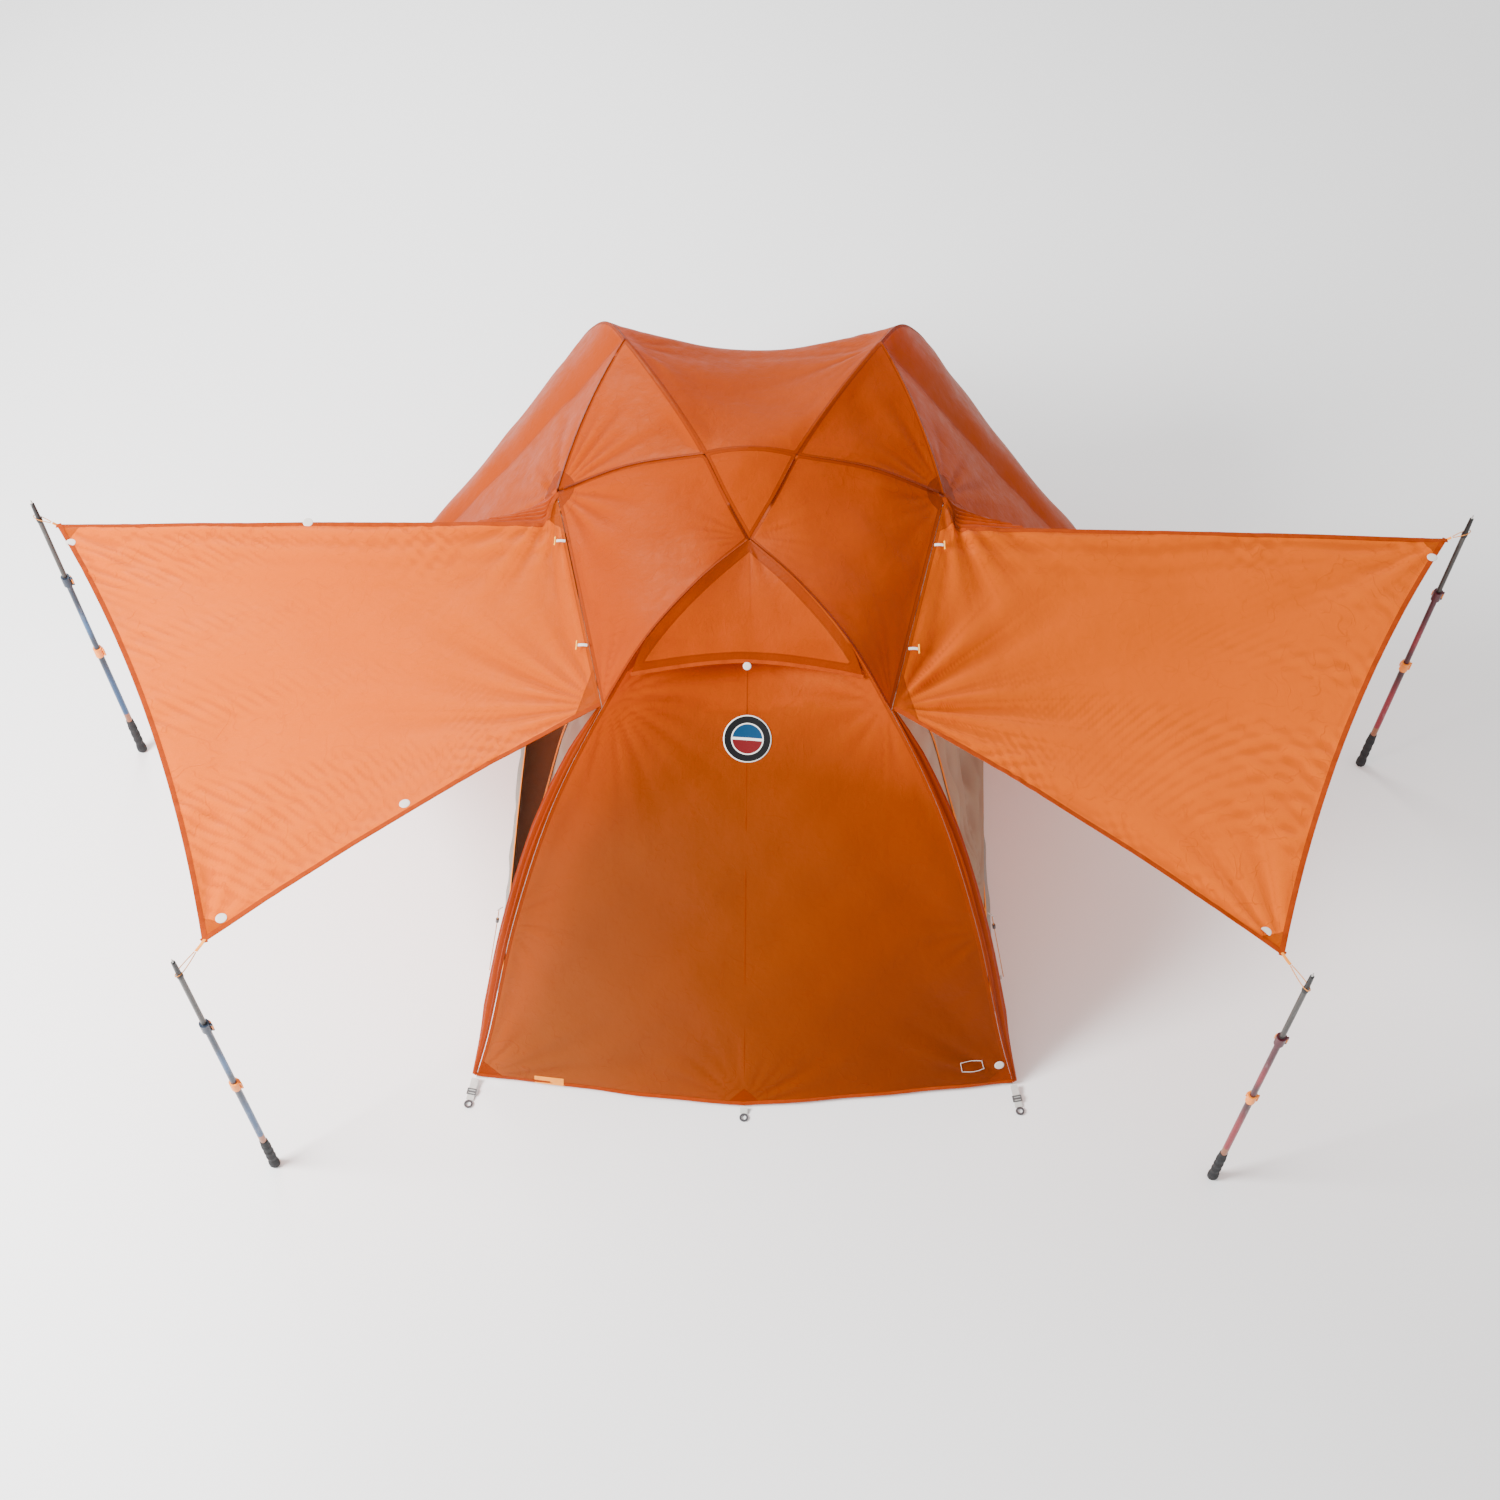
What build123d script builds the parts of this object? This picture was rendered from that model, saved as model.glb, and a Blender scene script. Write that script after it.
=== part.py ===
from build123d import *
from math import cos, radians, sin, tan
import os

# A freestanding two-door backpacking tent with a rainfly, pitched with both doors raised as
# awnings on upturned trekking poles. Millimetres, +Z up, X across, Y from foot (-) to head (+).
# The origin is on the ground under the middle of the floor.

# ---- driving dimensions ----
CLOTH = 3.0                 # thickness that stands for a sewn cloth panel
FLOOR_HALF = 1086.0         # half the floor's length
FOOT_HALF = 712.0           # half the floor's width at the foot
WAIST_HALF = 712.0          # half the floor's width at the doors
HEAD_HALF = 788.0           # half the floor's width at the head
TUB_HEIGHT = 110.0
TUB_LEAN = 26.0             # how far the tub wall leans in at its top
TUB_WALL = 2.0

POLE_RADIUS = 4.5
POLE_BORE = 3.9
POLE_DROP = 38.0            # from the fly's ridge down to the centre of an arm
POLE_INSET = 18.0           # from the fly's ridge in to the centre of an arm
BROW_DROP = 20.0            # from the fly's ridge down to the centre of the brow pole
FIT = 0.1                   # radial clearance of a sliding or turning fit
HUB_RADIUS = 20.0
HUB_HEIGHT = 14.0
STUB_RADIUS = POLE_BORE - FIT
STUB_LENGTH = 24.0

TREK_LENGTH = 1150.0
TREK_REAR = (1900.0, -30.0)
TREK_FRONT = (1272.0, -1397.0)
GRIP_TOP = 162.0
UPPER_LOCK = 515.0
LOWER_LOCK = 835.0
TIP_BASE = 1070.0
UPPER_RADIUS, MIDDLE_RADIUS, LOWER_RADIUS = 9.0, 7.9, 6.8
TUBE_WALL = 1.0
TUBE_OVERLAP = 60.0         # how far a tube reaches into the next one when extended
LOCK_HEIGHT = 30.0
LOCK_RADIUS = 12.5
LEVER_OFFSET = 16.2         # pivot of a lock lever from the pole's centre line

AWNING_GAP = 4.0            # between an awning and the seam that it hangs from

# ---- lines of the fly, given for the right half (+X) ----
HUB = (0, -124, 1135)
FOOT_ARM = [HUB, (127, -296, 1170), (250, -462, 1150), (348, -592, 1060),
            (480, -773, 879), (602, -937, 558), (705, -1080, 150), (747, -1133, 15)]
HEAD_ARM = [HUB, (62, -13, 1172), (122, 118, 1198), (200, 272, 1208), (290, 450, 1192),
            (360, 590, 1165), (415, 700, 1125), (478, 800, 1010), (578, 928, 760),
            (718, 1062, 380), (825, 1145, 15)]
BROW_TOP = (0, 122, 1218)
BROW_END = (530, 130, 1030)
DOOR_TOP = (362, -606, 1042)        # foot end of the door's top seam
STAKE_SIDE = (1520, 240, 15)
FOOT_CENTRE = [(0, -405, 1066), (0, -540, 992), (0, -695, 825), (0, -872, 531),
               (0, -1122, 150), (0, -1214, 15)]
HEAD_CENTRE = [(0, 690, 1035), (0, 760, 915), (0, 905, 640), (0, 1085, 300), (0, 1250, 15)]
ROOF_CENTRE = [BROW_TOP, (0, 272, 1190), (0, 450, 1140), (0, 590, 1085), (0, 690, 1035)]
HOOD_SIDE = (290, -552, 1100)
HOOD_LIP = (0, -508, 1103)
AWNING_REAR = (1858, -33, 1058)
AWNING_FRONT = (1241, -1302, 1057)

# ---- lines of the inner tent, right half ----
INNER_HUB = (0, -124, 1062)
INNER_FOOT = [(285, -520, 985), (422, -700, 795), (540, -855, 500), (636, -985, 205)]
INNER_FOOT_CENTRE = [INNER_HUB, (0, -480, 950), (0, -630, 770), (0, -790, 480),
                     (0, -950, 195)]
INNER_BROW = (478, 120, 960)
INNER_SHOULDER = [(365, 640, 1055), (450, 750, 925), (570, 888, 660), (686, 1008, 330)]
INNER_HEAD_CENTRE = [(0, 600, 975), (0, 680, 850), (0, 835, 590), (0, 985, 300)]
DOOR_FOOT_EDGE = [(395, -455, 930), (482, -428, 733), (560, -514, 488), (642, -613, 225)]
DOOR_HEAD_EDGE = [(470, 330, 955), (540, 420, 720), (625, 470, 430), (672, 440, 190)]

UP = (0, 0, 1)


def on(side, point):
    """Return a right-hand point on the given side, +1 right or -1 left."""
    return (side * point[0], point[1], point[2])


def shifted(point, step):
    """Return the point moved by a step."""
    return tuple(a + b for a, b in zip(point, step))


def facet(corners, push):
    """Return the prism that one triangle of cloth sweeps along push."""
    first, second, third = (Vector(*corner) for corner in corners)
    plane = Plane(origin=first, x_dir=second - first,
                  z_dir=(second - first).cross(third - first))
    outline = [plane.to_local_coords(point) for point in (first, second, third)]
    with BuildPart() as prism:
        with BuildSketch(plane):
            with BuildLine():
                Polyline(*outline, close=True)
            make_face()
        extrude(amount=CLOTH, dir=Vector(*push).normalized())
    return prism.part


def between(row_a, row_b):
    """Return the triangles of a strip of cloth between two rows of points."""
    triangles = []
    for a, a_next, b, b_next in zip(row_a, row_a[1:], row_b, row_b[1:]):
        triangles += [(a, a_next, b_next), (a, b_next, b)]
    return triangles


def fan(centre, rim):
    """Return the triangles of a fan from a centre to a row of points."""
    return [(centre, a, b) for a, b in zip(rim, rim[1:])]


def cloth(triangles, push):
    """Return one closed panel of cloth made of flat triangles."""
    triangles = [t for t in triangles if len(set(t)) == 3]
    with BuildPart() as panel:
        add([facet(corners, push) for corners in triangles])
    return panel.part


def both_sides(row):
    """Return the row on the left and on the right."""
    return [[on(side, point) for point in row] for side in (-1, 1)]


def save(part, name):
    """Label a finished piece and write it."""
    part.label = name
    export_step(part, f"parts/{name}.step")


def arc_radii(points):
    """Return the largest comfortable arc at each inner point of a route."""
    radii = []
    for a, b, c in zip(points, points[1:], points[2:]):
        before = Vector(*b) - Vector(*a)
        after = Vector(*c) - Vector(*b)
        turn = before.get_angle(after)
        radii.append(0.45 * min(before.length, after.length) / tan(radians(turn / 2)))
    return radii


def tube(points, radius, bore=0.0):
    """Return a tube along straight runs joined by tangent arcs, and its centre line."""
    with BuildPart() as body:
        with BuildLine() as path:
            FilletPolyline(*points, radius=arc_radii(points))
        start = Plane(origin=path.line @ 0, z_dir=path.line % 0)
        with BuildSketch(start):
            Circle(radius)
            if bore:
                Circle(bore, mode=Mode.SUBTRACT)
        sweep()
    return body.part, path.line


def ring(location_plane, outer, inner, length):
    """Return a short sleeve centred on a plane."""
    with BuildPart() as sleeve:
        with BuildSketch(location_plane.offset(-length / 2)):
            Circle(outer)
            Circle(inner, mode=Mode.SUBTRACT)
        extrude(amount=length)
    return sleeve.part


os.makedirs("parts", exist_ok=True)

# ---- pole frame ----


def pole_route(ridge, drop, foot):
    """Return an arm's centre line: below the fly's ridge, then inside its wall, to its foot."""
    route = []
    for x, y, z in ridge[1:-1]:
        reach = (x * x + y * y) ** 0.5
        keep = 1 - POLE_INSET / reach
        route.append((x * keep, y * keep, z - drop * z / 1150))
    return route + [foot]


HUB_CENTRE = Vector(0, HUB[1], HUB[2] - POLE_DROP)
FOOT_CORNER_POLE = (733, -1114, 20)
HEAD_CORNER_POLE = (808, 1122, 20)
sleeves = []
clips = []
tips = []
stub_directions = []


def arm(ridge, foot, side):
    """Return one arm of the frame, and note its hub stub, joint sleeves, clips and foot."""
    route = [on(side, point) for point in pole_route(ridge, POLE_DROP, foot)]
    heading = (Vector(*route[0]) - HUB_CENTRE).normalized()
    start = HUB_CENTRE + heading * (HUB_RADIUS + 2)
    body, line = tube([tuple(start)] + route, POLE_RADIUS, POLE_BORE)
    stub_directions.append(heading)
    for share in (0.33, 0.66):
        spot = Plane(origin=line @ share, z_dir=line % share)
        sleeves.append(ring(spot, POLE_RADIUS + 1.3, POLE_RADIUS + 0.4, 26))
    for share in (0.2, 0.45, 0.8):
        spot = Plane(origin=line @ share, z_dir=line % share)
        clips.append(ring(spot, POLE_RADIUS + 2.2, POLE_RADIUS + 0.3, 12))
    end = Plane(origin=line @ 1, z_dir=line % 1)
    tips.append(end)
    return body


for side, hand in ((-1, "left"), (1, "right")):
    save(arm(FOOT_ARM, FOOT_CORNER_POLE, side), f"foot_pole_{hand}")
    save(arm(HEAD_ARM, HEAD_CORNER_POLE, side), f"head_pole_{hand}")

brow_points = [on(-1, BROW_END), on(-1, (330, 124, 1140)), on(-1, (122, 120, 1197)),
               on(1, (122, 120, 1197)), on(1, (330, 124, 1140)), BROW_END]
brow_route = [shifted(point, (0, -0.02 * abs(point[0]), -BROW_DROP - 0.012 * abs(point[0])))
              for point in brow_points]
brow_pole, brow_line = tube(brow_route, POLE_RADIUS - 0.5, POLE_BORE - 0.5)
save(brow_pole, "brow_pole")

with BuildPart() as pole_hub:
    with BuildSketch(Plane(origin=HUB_CENTRE).offset(-HUB_HEIGHT / 2)):
        Circle(HUB_RADIUS)
    extrude(amount=HUB_HEIGHT)
    fillet(pole_hub.edges().filter_by(GeomType.CIRCLE), 3)
    for heading in stub_directions:
        with BuildSketch(Plane(origin=HUB_CENTRE + heading * 5, z_dir=heading)):
            Circle(STUB_RADIUS)
        extrude(amount=HUB_RADIUS - 3 + STUB_LENGTH)
save(pole_hub.part, "pole_hub")

with BuildPart() as pole_ferrules:
    add(sleeves)
save(pole_ferrules.part, "pole_ferrules")

with BuildPart() as pole_clips:
    add(clips)
save(pole_clips.part, "pole_clips")

TIP_PROFILE = [(0, -20), (1, -20), (1, 1), (1.35, 3), (1.35, 7), (0.8, 10), (0, 10)]


def pole_tip(end, radius):
    """Return a turned plug that fits the end of a tube and stands out of it."""
    with BuildPart() as tip:
        with BuildSketch(Plane.XZ):
            with BuildLine():
                Polyline(*[(share * radius, height) for share, height in TIP_PROFILE],
                         close=True)
            make_face()
        revolve(axis=Axis.Z)
    return tip.part.moved(end.location)


brow_ends = [Plane(origin=brow_line @ 0, z_dir=(brow_line % 0) * -1),
             Plane(origin=brow_line @ 1, z_dir=brow_line % 1)]
with BuildPart() as pole_tips:
    add([pole_tip(end, POLE_BORE - FIT) for end in tips])
    add([pole_tip(end, POLE_BORE - 0.5 - FIT) for end in brow_ends])
save(pole_tips.part, "pole_tips")

# ---- inner tent ----
def floor_outline(inset):
    """Return the floor's right-hand points from foot to head, moved in by an inset."""
    return [(FOOT_HALF - inset, -FLOOR_HALF + inset), (WAIST_HALF - inset, -40),
            (HEAD_HALF - inset, FLOOR_HALF - inset)]


def floor_loop(inset, height):
    """Sketch the closed floor outline at a height."""
    right = floor_outline(inset)
    left = [(-x, y) for x, y in reversed(right)]
    with BuildSketch(Plane.XY.offset(height)) as loop:
        with BuildLine():
            Polyline(*right, *left, close=True)
        make_face()
    return loop.sketch


with BuildPart() as floor_tub:
    add(floor_loop(0, 0))
    extrude(amount=TUB_WALL)
    corners_low = floor_outline(0) + [(-x, y) for x, y in reversed(floor_outline(0))]
    corners_high = (floor_outline(TUB_LEAN)
                    + [(-x, y) for x, y in reversed(floor_outline(TUB_LEAN))])
    for i in range(len(corners_low)):
        j = (i + 1) % len(corners_low)
        low_a, low_b = corners_low[i] + (TUB_WALL,), corners_low[j] + (TUB_WALL,)
        high_a, high_b = corners_high[i] + (TUB_HEIGHT,), corners_high[j] + (TUB_HEIGHT,)
        middle = Vector(low_a[0] + low_b[0], low_a[1] + low_b[1], 0)
        inwards = tuple(middle.normalized() * -1)
        add([facet((low_a, low_b, high_b), inwards), facet((low_a, high_b, high_a), inwards)])
save(floor_tub.part, "floor_tub")

TUB_TOP = TUB_HEIGHT + 1
TUB_FOOT = (FOOT_HALF - TUB_LEAN - 2, -FLOOR_HALF + TUB_LEAN + 2, TUB_TOP)
TUB_HEAD = (HEAD_HALF - TUB_LEAN - 2, FLOOR_HALF - TUB_LEAN - 2, TUB_TOP)
foot_rows = [INNER_HUB] + INNER_FOOT + [TUB_FOOT]
head_rows = INNER_SHOULDER + [TUB_HEAD]

foot_left, foot_right = both_sides(foot_rows)
head_left, head_right = both_sides(head_rows)
foot_middle = INNER_FOOT_CENTRE + [(0, TUB_FOOT[1], TUB_TOP)]
save(cloth(between(foot_left, foot_middle) + between(foot_middle, foot_right),
           (0, -0.7, 0.7)), "inner_foot_wall")
head_middle = INNER_HEAD_CENTRE + [(0, TUB_HEAD[1], TUB_TOP)]
save(cloth(between(head_left, head_middle) + between(head_middle, head_right),
           (0, 0.8, 0.6)), "inner_head_wall")

roof_rim = [on(-1, INNER_SHOULDER[0]), on(-1, INNER_BROW), on(-1, INNER_FOOT[0])]
roof_rim_right = [on(1, INNER_FOOT[0]), INNER_BROW, INNER_SHOULDER[0]]
roof_centre = (0, 180, 1060)
roof_loop = (roof_rim + [INNER_HUB] + roof_rim_right + INNER_HEAD_CENTRE[:1] + roof_rim[:1])
save(cloth(fan(roof_centre, roof_loop), UP), "inner_roof")

for side, hand in ((-1, "left"), (1, "right")):
    outwards = (side, 0, 0)
    sill_foot = on(side, (WAIST_HALF - TUB_LEAN - 0.5, -640, TUB_TOP))
    sill_head = on(side, (WAIST_HALF + 28, 430, TUB_TOP))
    foot_edge = [on(side, point) for point in DOOR_FOOT_EDGE] + [sill_foot]
    foot_outer = [on(side, point) for point in INNER_FOOT + [TUB_FOOT]]
    head_edge = [on(side, point) for point in DOOR_HEAD_EDGE] + [sill_head]
    head_outer = [on(side, point) for point in head_rows]
    foot_part = cloth(between(foot_outer, foot_edge), outwards)
    head_part = cloth(between(head_edge, head_outer), outwards)
    with BuildPart() as inner_side:
        add([foot_part, head_part])
    save(inner_side.part, f"inner_side_{hand}")

door_foot = DOOR_FOOT_EDGE + [(WAIST_HALF - TUB_LEAN - 0.5, -640, TUB_TOP)]
door_head = DOOR_HEAD_EDGE + [(WAIST_HALF + 28, 430, TUB_TOP)]
clear_foot = [shifted(point, (0, 6, 0)) for point in door_foot]
clear_head = [shifted(point, (0, -6, 0)) for point in door_head]
save(cloth(between(clear_foot, clear_head), (1, 0, 0)), "inner_door_right")

rolled_points = [shifted(on(-1, point), (-22, -10, 0)) for point in DOOR_HEAD_EDGE]
rolled_door, rolled_line = tube(rolled_points, 17)
ties = [rolled_door]
for share in (0.25, 0.7):
    spot = Plane(origin=rolled_line @ share, z_dir=rolled_line % share)
    ties.append(ring(spot, 19.5, 17.3, 16))
with BuildPart() as rolled_door_left:
    add(ties)
save(rolled_door_left.part, "rolled_door_left")

# ---- fly ----
FOOTWARDS = (0, -0.75, 0.66)
HEADWARDS = (0, 0.8, 0.6)
CROSSING = 2                # where the brow pole crosses the head arm
SHOULDER = 6                # where the head arm turns down into the head wall
roof_left_arm, roof_right_arm = both_sides(HEAD_ARM[CROSSING:SHOULDER + 1])

save(cloth(fan(HUB, [on(-1, p) for p in HEAD_ARM[1:3]] + [BROW_TOP]
               + [on(1, p) for p in reversed(HEAD_ARM[1:3])]), UP), "fly_top")
save(cloth(between(roof_left_arm, ROOF_CENTRE) + between(ROOF_CENTRE, roof_right_arm), UP),
     "fly_roof_centre")

BROW_MIDDLE = (330, 124, 1142)
ROOF_DIP = (265, -220, 1098)
for side, hand in ((-1, "left"), (1, "right")):
    rim = ([HUB] + FOOT_ARM[1:3] + [DOOR_TOP, BROW_END, BROW_MIDDLE, HEAD_ARM[CROSSING],
                                    HEAD_ARM[1], HUB])
    front = fan(on(side, ROOF_DIP), [on(side, point) for point in rim])
    back = between([on(side, point) for point in (BROW_END, BROW_MIDDLE, HEAD_ARM[CROSSING])],
                   [on(side, HEAD_ARM[i]) for i in (5, 4, 3)])
    save(cloth(front + back, UP), f"fly_roof_{hand}")

foot_wall_side = [(240, -456, 1132)] + FOOT_ARM[3:]
foot_wall_left, foot_wall_right = both_sides(foot_wall_side)
save(cloth(between(foot_wall_left, FOOT_CENTRE) + between(FOOT_CENTRE, foot_wall_right),
           FOOTWARDS), "fly_foot_wall")

head_wall_left, head_wall_right = both_sides(HEAD_ARM[SHOULDER:])
save(cloth(between(head_wall_left, HEAD_CENTRE) + between(HEAD_CENTRE, head_wall_right),
           HEADWARDS), "fly_head_wall")

for side, hand in ((-1, "left"), (1, "right")):
    rim = [on(side, point) for point in [BROW_END] + HEAD_ARM[5:]]
    outwards = (side * 0.6, 0.25, 0.76)
    save(cloth(fan(on(side, STAKE_SIDE), rim), outwards), f"vestibule_{hand}")

FLAP_WIDTH = 34.0
FLAP_SHARES = (0.25, 0.6, 1, 1, 0.3)
for side, hand in ((-1, "left"), (1, "right")):
    ridge = [shifted(point, (7, 3, 0)) for point in FOOT_ARM[3:]]
    ridge[0] = (385, -634, 1010)
    edge = [shifted(point, (0.75 * FLAP_WIDTH * share, 0.55 * FLAP_WIDTH * share,
                            -0.3 * FLAP_WIDTH * share))
            for point, share in zip(ridge, FLAP_SHARES)]
    flap = between([on(side, point) for point in ridge], [on(side, point) for point in edge])
    save(cloth(flap, (side * 0.7, -0.2, 0.7)), f"storm_flap_{hand}")

hood_side = [HUB] + FOOT_ARM[1:3] + [HOOD_SIDE]
hood_centre = [HUB, (0, -285, 1146), (0, -425, 1130), HOOD_LIP]
hood_left, hood_right = both_sides(hood_side)
save(cloth(between(hood_left, hood_centre) + between(hood_centre, hood_right), FOOTWARDS),
     "vent_hood")

STRUT_RADIUS = 2.5
with BuildPart() as vent_strut:
    with BuildSketch(Plane(origin=(0, HOOD_LIP[1] + 22, HOOD_LIP[2] - 2), z_dir=(0, 0.35, -1))):
        Circle(STRUT_RADIUS)
    extrude(amount=38)
save(vent_strut.part, "vent_strut")

BADGE_RADIUS = 62.0
with BuildPart() as badge:
    with BuildSketch(Plane(origin=(0, -640, 955), z_dir=(0, -0.76, 0.65))):
        Circle(BADGE_RADIUS)
    extrude(amount=1.5)
save(badge.part, "badge")

# ---- webbing, buckles and stake rings ----
WEBBING = 1.8
RING_OUTER, RING_BORE, RING_HEIGHT = 12.0, 7.0, 3.0
LONG_STRAP = 60.0           # a strap longer than this has a buckle


def strap(start, end, width):
    """Return a flat strap from one point to another."""
    run = Vector(*end) - Vector(*start)
    across = run.cross(Vector(0, 0, 1)).normalized()
    plane = Plane(origin=start, x_dir=run, z_dir=across.cross(run))
    with BuildPart() as webbing:
        with BuildSketch(plane):
            with Locations((run.length / 2, 0)):
                Rectangle(run.length, width)
        extrude(amount=WEBBING)
    return webbing.part


def stake_points(side):
    """Return where each strap starts and where its ring lies, for one side."""
    return [(on(side, (750, -1141, 14)), on(side, (764, -1214, 2))),
            (on(side, (828, 1154, 14)), on(side, (851, 1240, 2))),
            (on(side, (1524, 239, 12)), on(side, (1592, 229, 2)))]


anchors = stake_points(-1) + stake_points(1)
anchors += [((0, -1217, 10), (0, -1244, 2)), ((0, 1256, 14), (0, 1300, 2))]
straps = []
buckles = []
rings = []
for start, ring_centre in anchors:
    run = Vector(*ring_centre) - Vector(*start)
    ahead = Vector(run.X, run.Y, 0).normalized()
    end = Vector(*ring_centre) - ahead * (RING_OUTER + 0.6)
    straps.append(strap(start, tuple(end), 20))
    if run.length > LONG_STRAP:
        slope = (end - Vector(*start)).normalized()
        seat = Vector(*start) + (end - Vector(*start)) * 0.62
        frame = Plane(origin=seat, x_dir=slope, z_dir=slope.cross(Vector(0, 0, 1)).cross(slope))
        with BuildPart() as buckle:
            with BuildSketch(frame.offset(WEBBING + 0.3)):
                Rectangle(18, 26)
                with Locations((-4, 0), (4, 0)):
                    Rectangle(3, 20, mode=Mode.SUBTRACT)
            extrude(amount=2.2)
        buckles.append(buckle.part)
    with BuildPart() as stake_ring:
        with BuildSketch(Plane(origin=ring_centre)):
            Circle(RING_OUTER)
            Circle(RING_BORE, mode=Mode.SUBTRACT)
        extrude(amount=RING_HEIGHT)
    rings.append(stake_ring.part)

with BuildPart() as stake_rings:
    add(rings)
save(stake_rings.part, "stake_rings")

GROMMET_SHIFT = 3.0         # how far a corner's base plate reaches past its pole
with BuildPart() as corner_grommets:
    for x, y, shift in ((FOOT_CORNER_POLE[0], FOOT_CORNER_POLE[1], GROMMET_SHIFT * -1),
                        (HEAD_CORNER_POLE[0], HEAD_CORNER_POLE[1], GROMMET_SHIFT)):
        with Locations((x, y + shift, 0), (-x, y + shift, 0)):
            Box(34, 30, 3, align=(Align.CENTER, Align.CENTER, Align.MIN))
save(corner_grommets.part, "corner_grommets")

# ---- side tension cords, from the foot arms down to the tub ----
CORD_RADIUS = 1.2
GUY_TOP = (652, -893, 520)
GUY_FOOT = (742, -800, 14)
guy_straps = []
sliders = []
for side, hand in ((-1, "left"), (1, "right")):
    top, foot = Vector(*on(side, GUY_TOP)), Vector(*on(side, GUY_FOOT))
    run = foot - top
    with BuildPart() as guyline:
        with BuildSketch(Plane(origin=top, z_dir=run)):
            Circle(CORD_RADIUS)
        extrude(amount=run.length)
    save(guyline.part, f"guyline_{hand}")
    guy_straps.append(strap(on(side, (641, -905, 548)), tuple(top - run.normalized() * 2), 12))
    guy_straps.append(strap(on(side, (718, -800, 4)), on(side, (738, -800, 8)), 12))
    slide_seat = Plane(origin=top + run * 0.16, z_dir=run)
    sliders.append(ring(slide_seat, 4.5, CORD_RADIUS + 0.15, 22))

with BuildPart() as stake_straps:
    add(straps + guy_straps)
save(stake_straps.part, "stake_straps")
with BuildPart() as strap_buckles:
    add(buckles + sliders)
save(strap_buckles.part, "strap_buckles")

# ---- doors raised as awnings ----
CURVE_IN = {"rear": 14.0, "outer": 52.0, "front": 20.0}     # how far each free edge bows in


def awning(side):
    """Return one raised door, and the plane whose X axis is its hinge seam."""
    foot_end, head_end = Vector(*on(side, DOOR_TOP)), Vector(*on(side, BROW_END))
    rear, front = Vector(*on(side, AWNING_REAR)), Vector(*on(side, AWNING_FRONT))
    seam = (head_end - foot_end).normalized()
    up = seam.cross(rear - head_end) * -side
    plane = Plane(origin=foot_end, x_dir=seam, z_dir=up)
    away = -side * 1.0
    start = (12, away * AWNING_GAP)
    stop = ((head_end - foot_end).length - 12, away * AWNING_GAP)
    far = [plane.to_local_coords(point) for point in (rear, front)]
    rear_corner, front_corner = [(point.X, point.Y) for point in far]

    def bowed(a, b, depth):
        """Draw an edge that bows towards the middle of the awning."""
        ax, ay = a
        bx, by = b
        length = ((bx - ax) ** 2 + (by - ay) ** 2) ** 0.5
        inside = (away * (by - ay) / length * -1, away * (bx - ax) / length)
        ThreePointArc(a, ((ax + bx) / 2 + inside[0] * depth, (ay + by) / 2 + inside[1] * depth),
                      b)

    with BuildPart() as sheet:
        with BuildSketch(plane):
            with BuildLine():
                Line(start, stop)
                bowed(stop, rear_corner, CURVE_IN["rear"])
                bowed(rear_corner, front_corner, CURVE_IN["outer"])
                bowed(front_corner, start, CURVE_IN["front"])
            make_face()
        extrude(amount=CLOTH)
    return sheet.part, plane


def toward(start, end, distance):
    """Return the point a distance along the way from start to end."""
    run = (Vector(*end) - Vector(*start)).normalized()
    return tuple(Vector(*start) + run * distance)


LOOP_HEIGHT = 1088.0
LOOP_CORD = 1.2
LOOP_BEYOND = 11.5          # how far a loop reaches past its pole's centre line
LOOP_HALF_WIDTH = 12.5
KNOT_HALF_WIDTH = 1.9
for side, hand in ((-1, "left"), (1, "right")):
    sheet, plane = awning(side)
    tabs = []
    loops = []
    for corner, pole, length in ((AWNING_REAR, TREK_REAR, 10), (AWNING_FRONT, TREK_FRONT, 28)):
        corner, post = on(side, corner), on(side, (pole[0], pole[1], LOOP_HEIGHT))
        tab_start = toward(corner, post, 1.5)
        tab_end = toward(corner, post, 1.5 + length)
        tabs.append(strap(tab_start, tab_end, 7))
        knot = Vector(*toward(corner, post, 1.5 + length + 3.5))
        reach = Vector(post[0] - knot.X, post[1] - knot.Y, 0)
        ahead = reach.normalized()
        beside = Vector(-ahead.Y, ahead.X, 0)
        beyond = Vector(post[0], post[1], LOOP_HEIGHT) + ahead * LOOP_BEYOND
        near = [knot + beside * step for step in (KNOT_HALF_WIDTH, -KNOT_HALF_WIDTH)]
        far = [beyond + beside * step for step in (LOOP_HALF_WIDTH, -LOOP_HALF_WIDTH)]
        route = [near[0], far[0], far[1], near[1]]
        with BuildPart() as loop:
            with BuildLine() as path:
                FilletPolyline(*route, radius=8)
            with BuildSketch(Plane(origin=path.line @ 0, z_dir=path.line % 0)):
                Circle(LOOP_CORD)
            sweep()
        loops.append(loop.part)
    with BuildPart() as raised_door:
        add([sheet] + tabs)
    save(raised_door.part, f"awning_{hand}")
    with BuildPart() as corner_loops:
        add(loops)
    save(corner_loops.part, f"corner_loops_{hand}")

TOGGLE_SHARES = (0.26, 0.745)    # where the doors' toggles sit along the top seam
with BuildPart() as toggles:
    for side in (-1, 1):
        for share in TOGGLE_SHARES:
            seat = (Vector(*on(side, DOOR_TOP)) * (1 - share)
                    + Vector(*on(side, BROW_END)) * share + Vector(side * 6, 0, 9))
            with Locations(seat + Vector(side * 12, 0, 0)):
                Box(24, 8, 1.5)
            with Locations(Location(seat + Vector(side * 27.5, 0, 0), (90, 0, 0))):
                Cylinder(2.4, 30)
save(toggles.part, "toggles")

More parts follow.
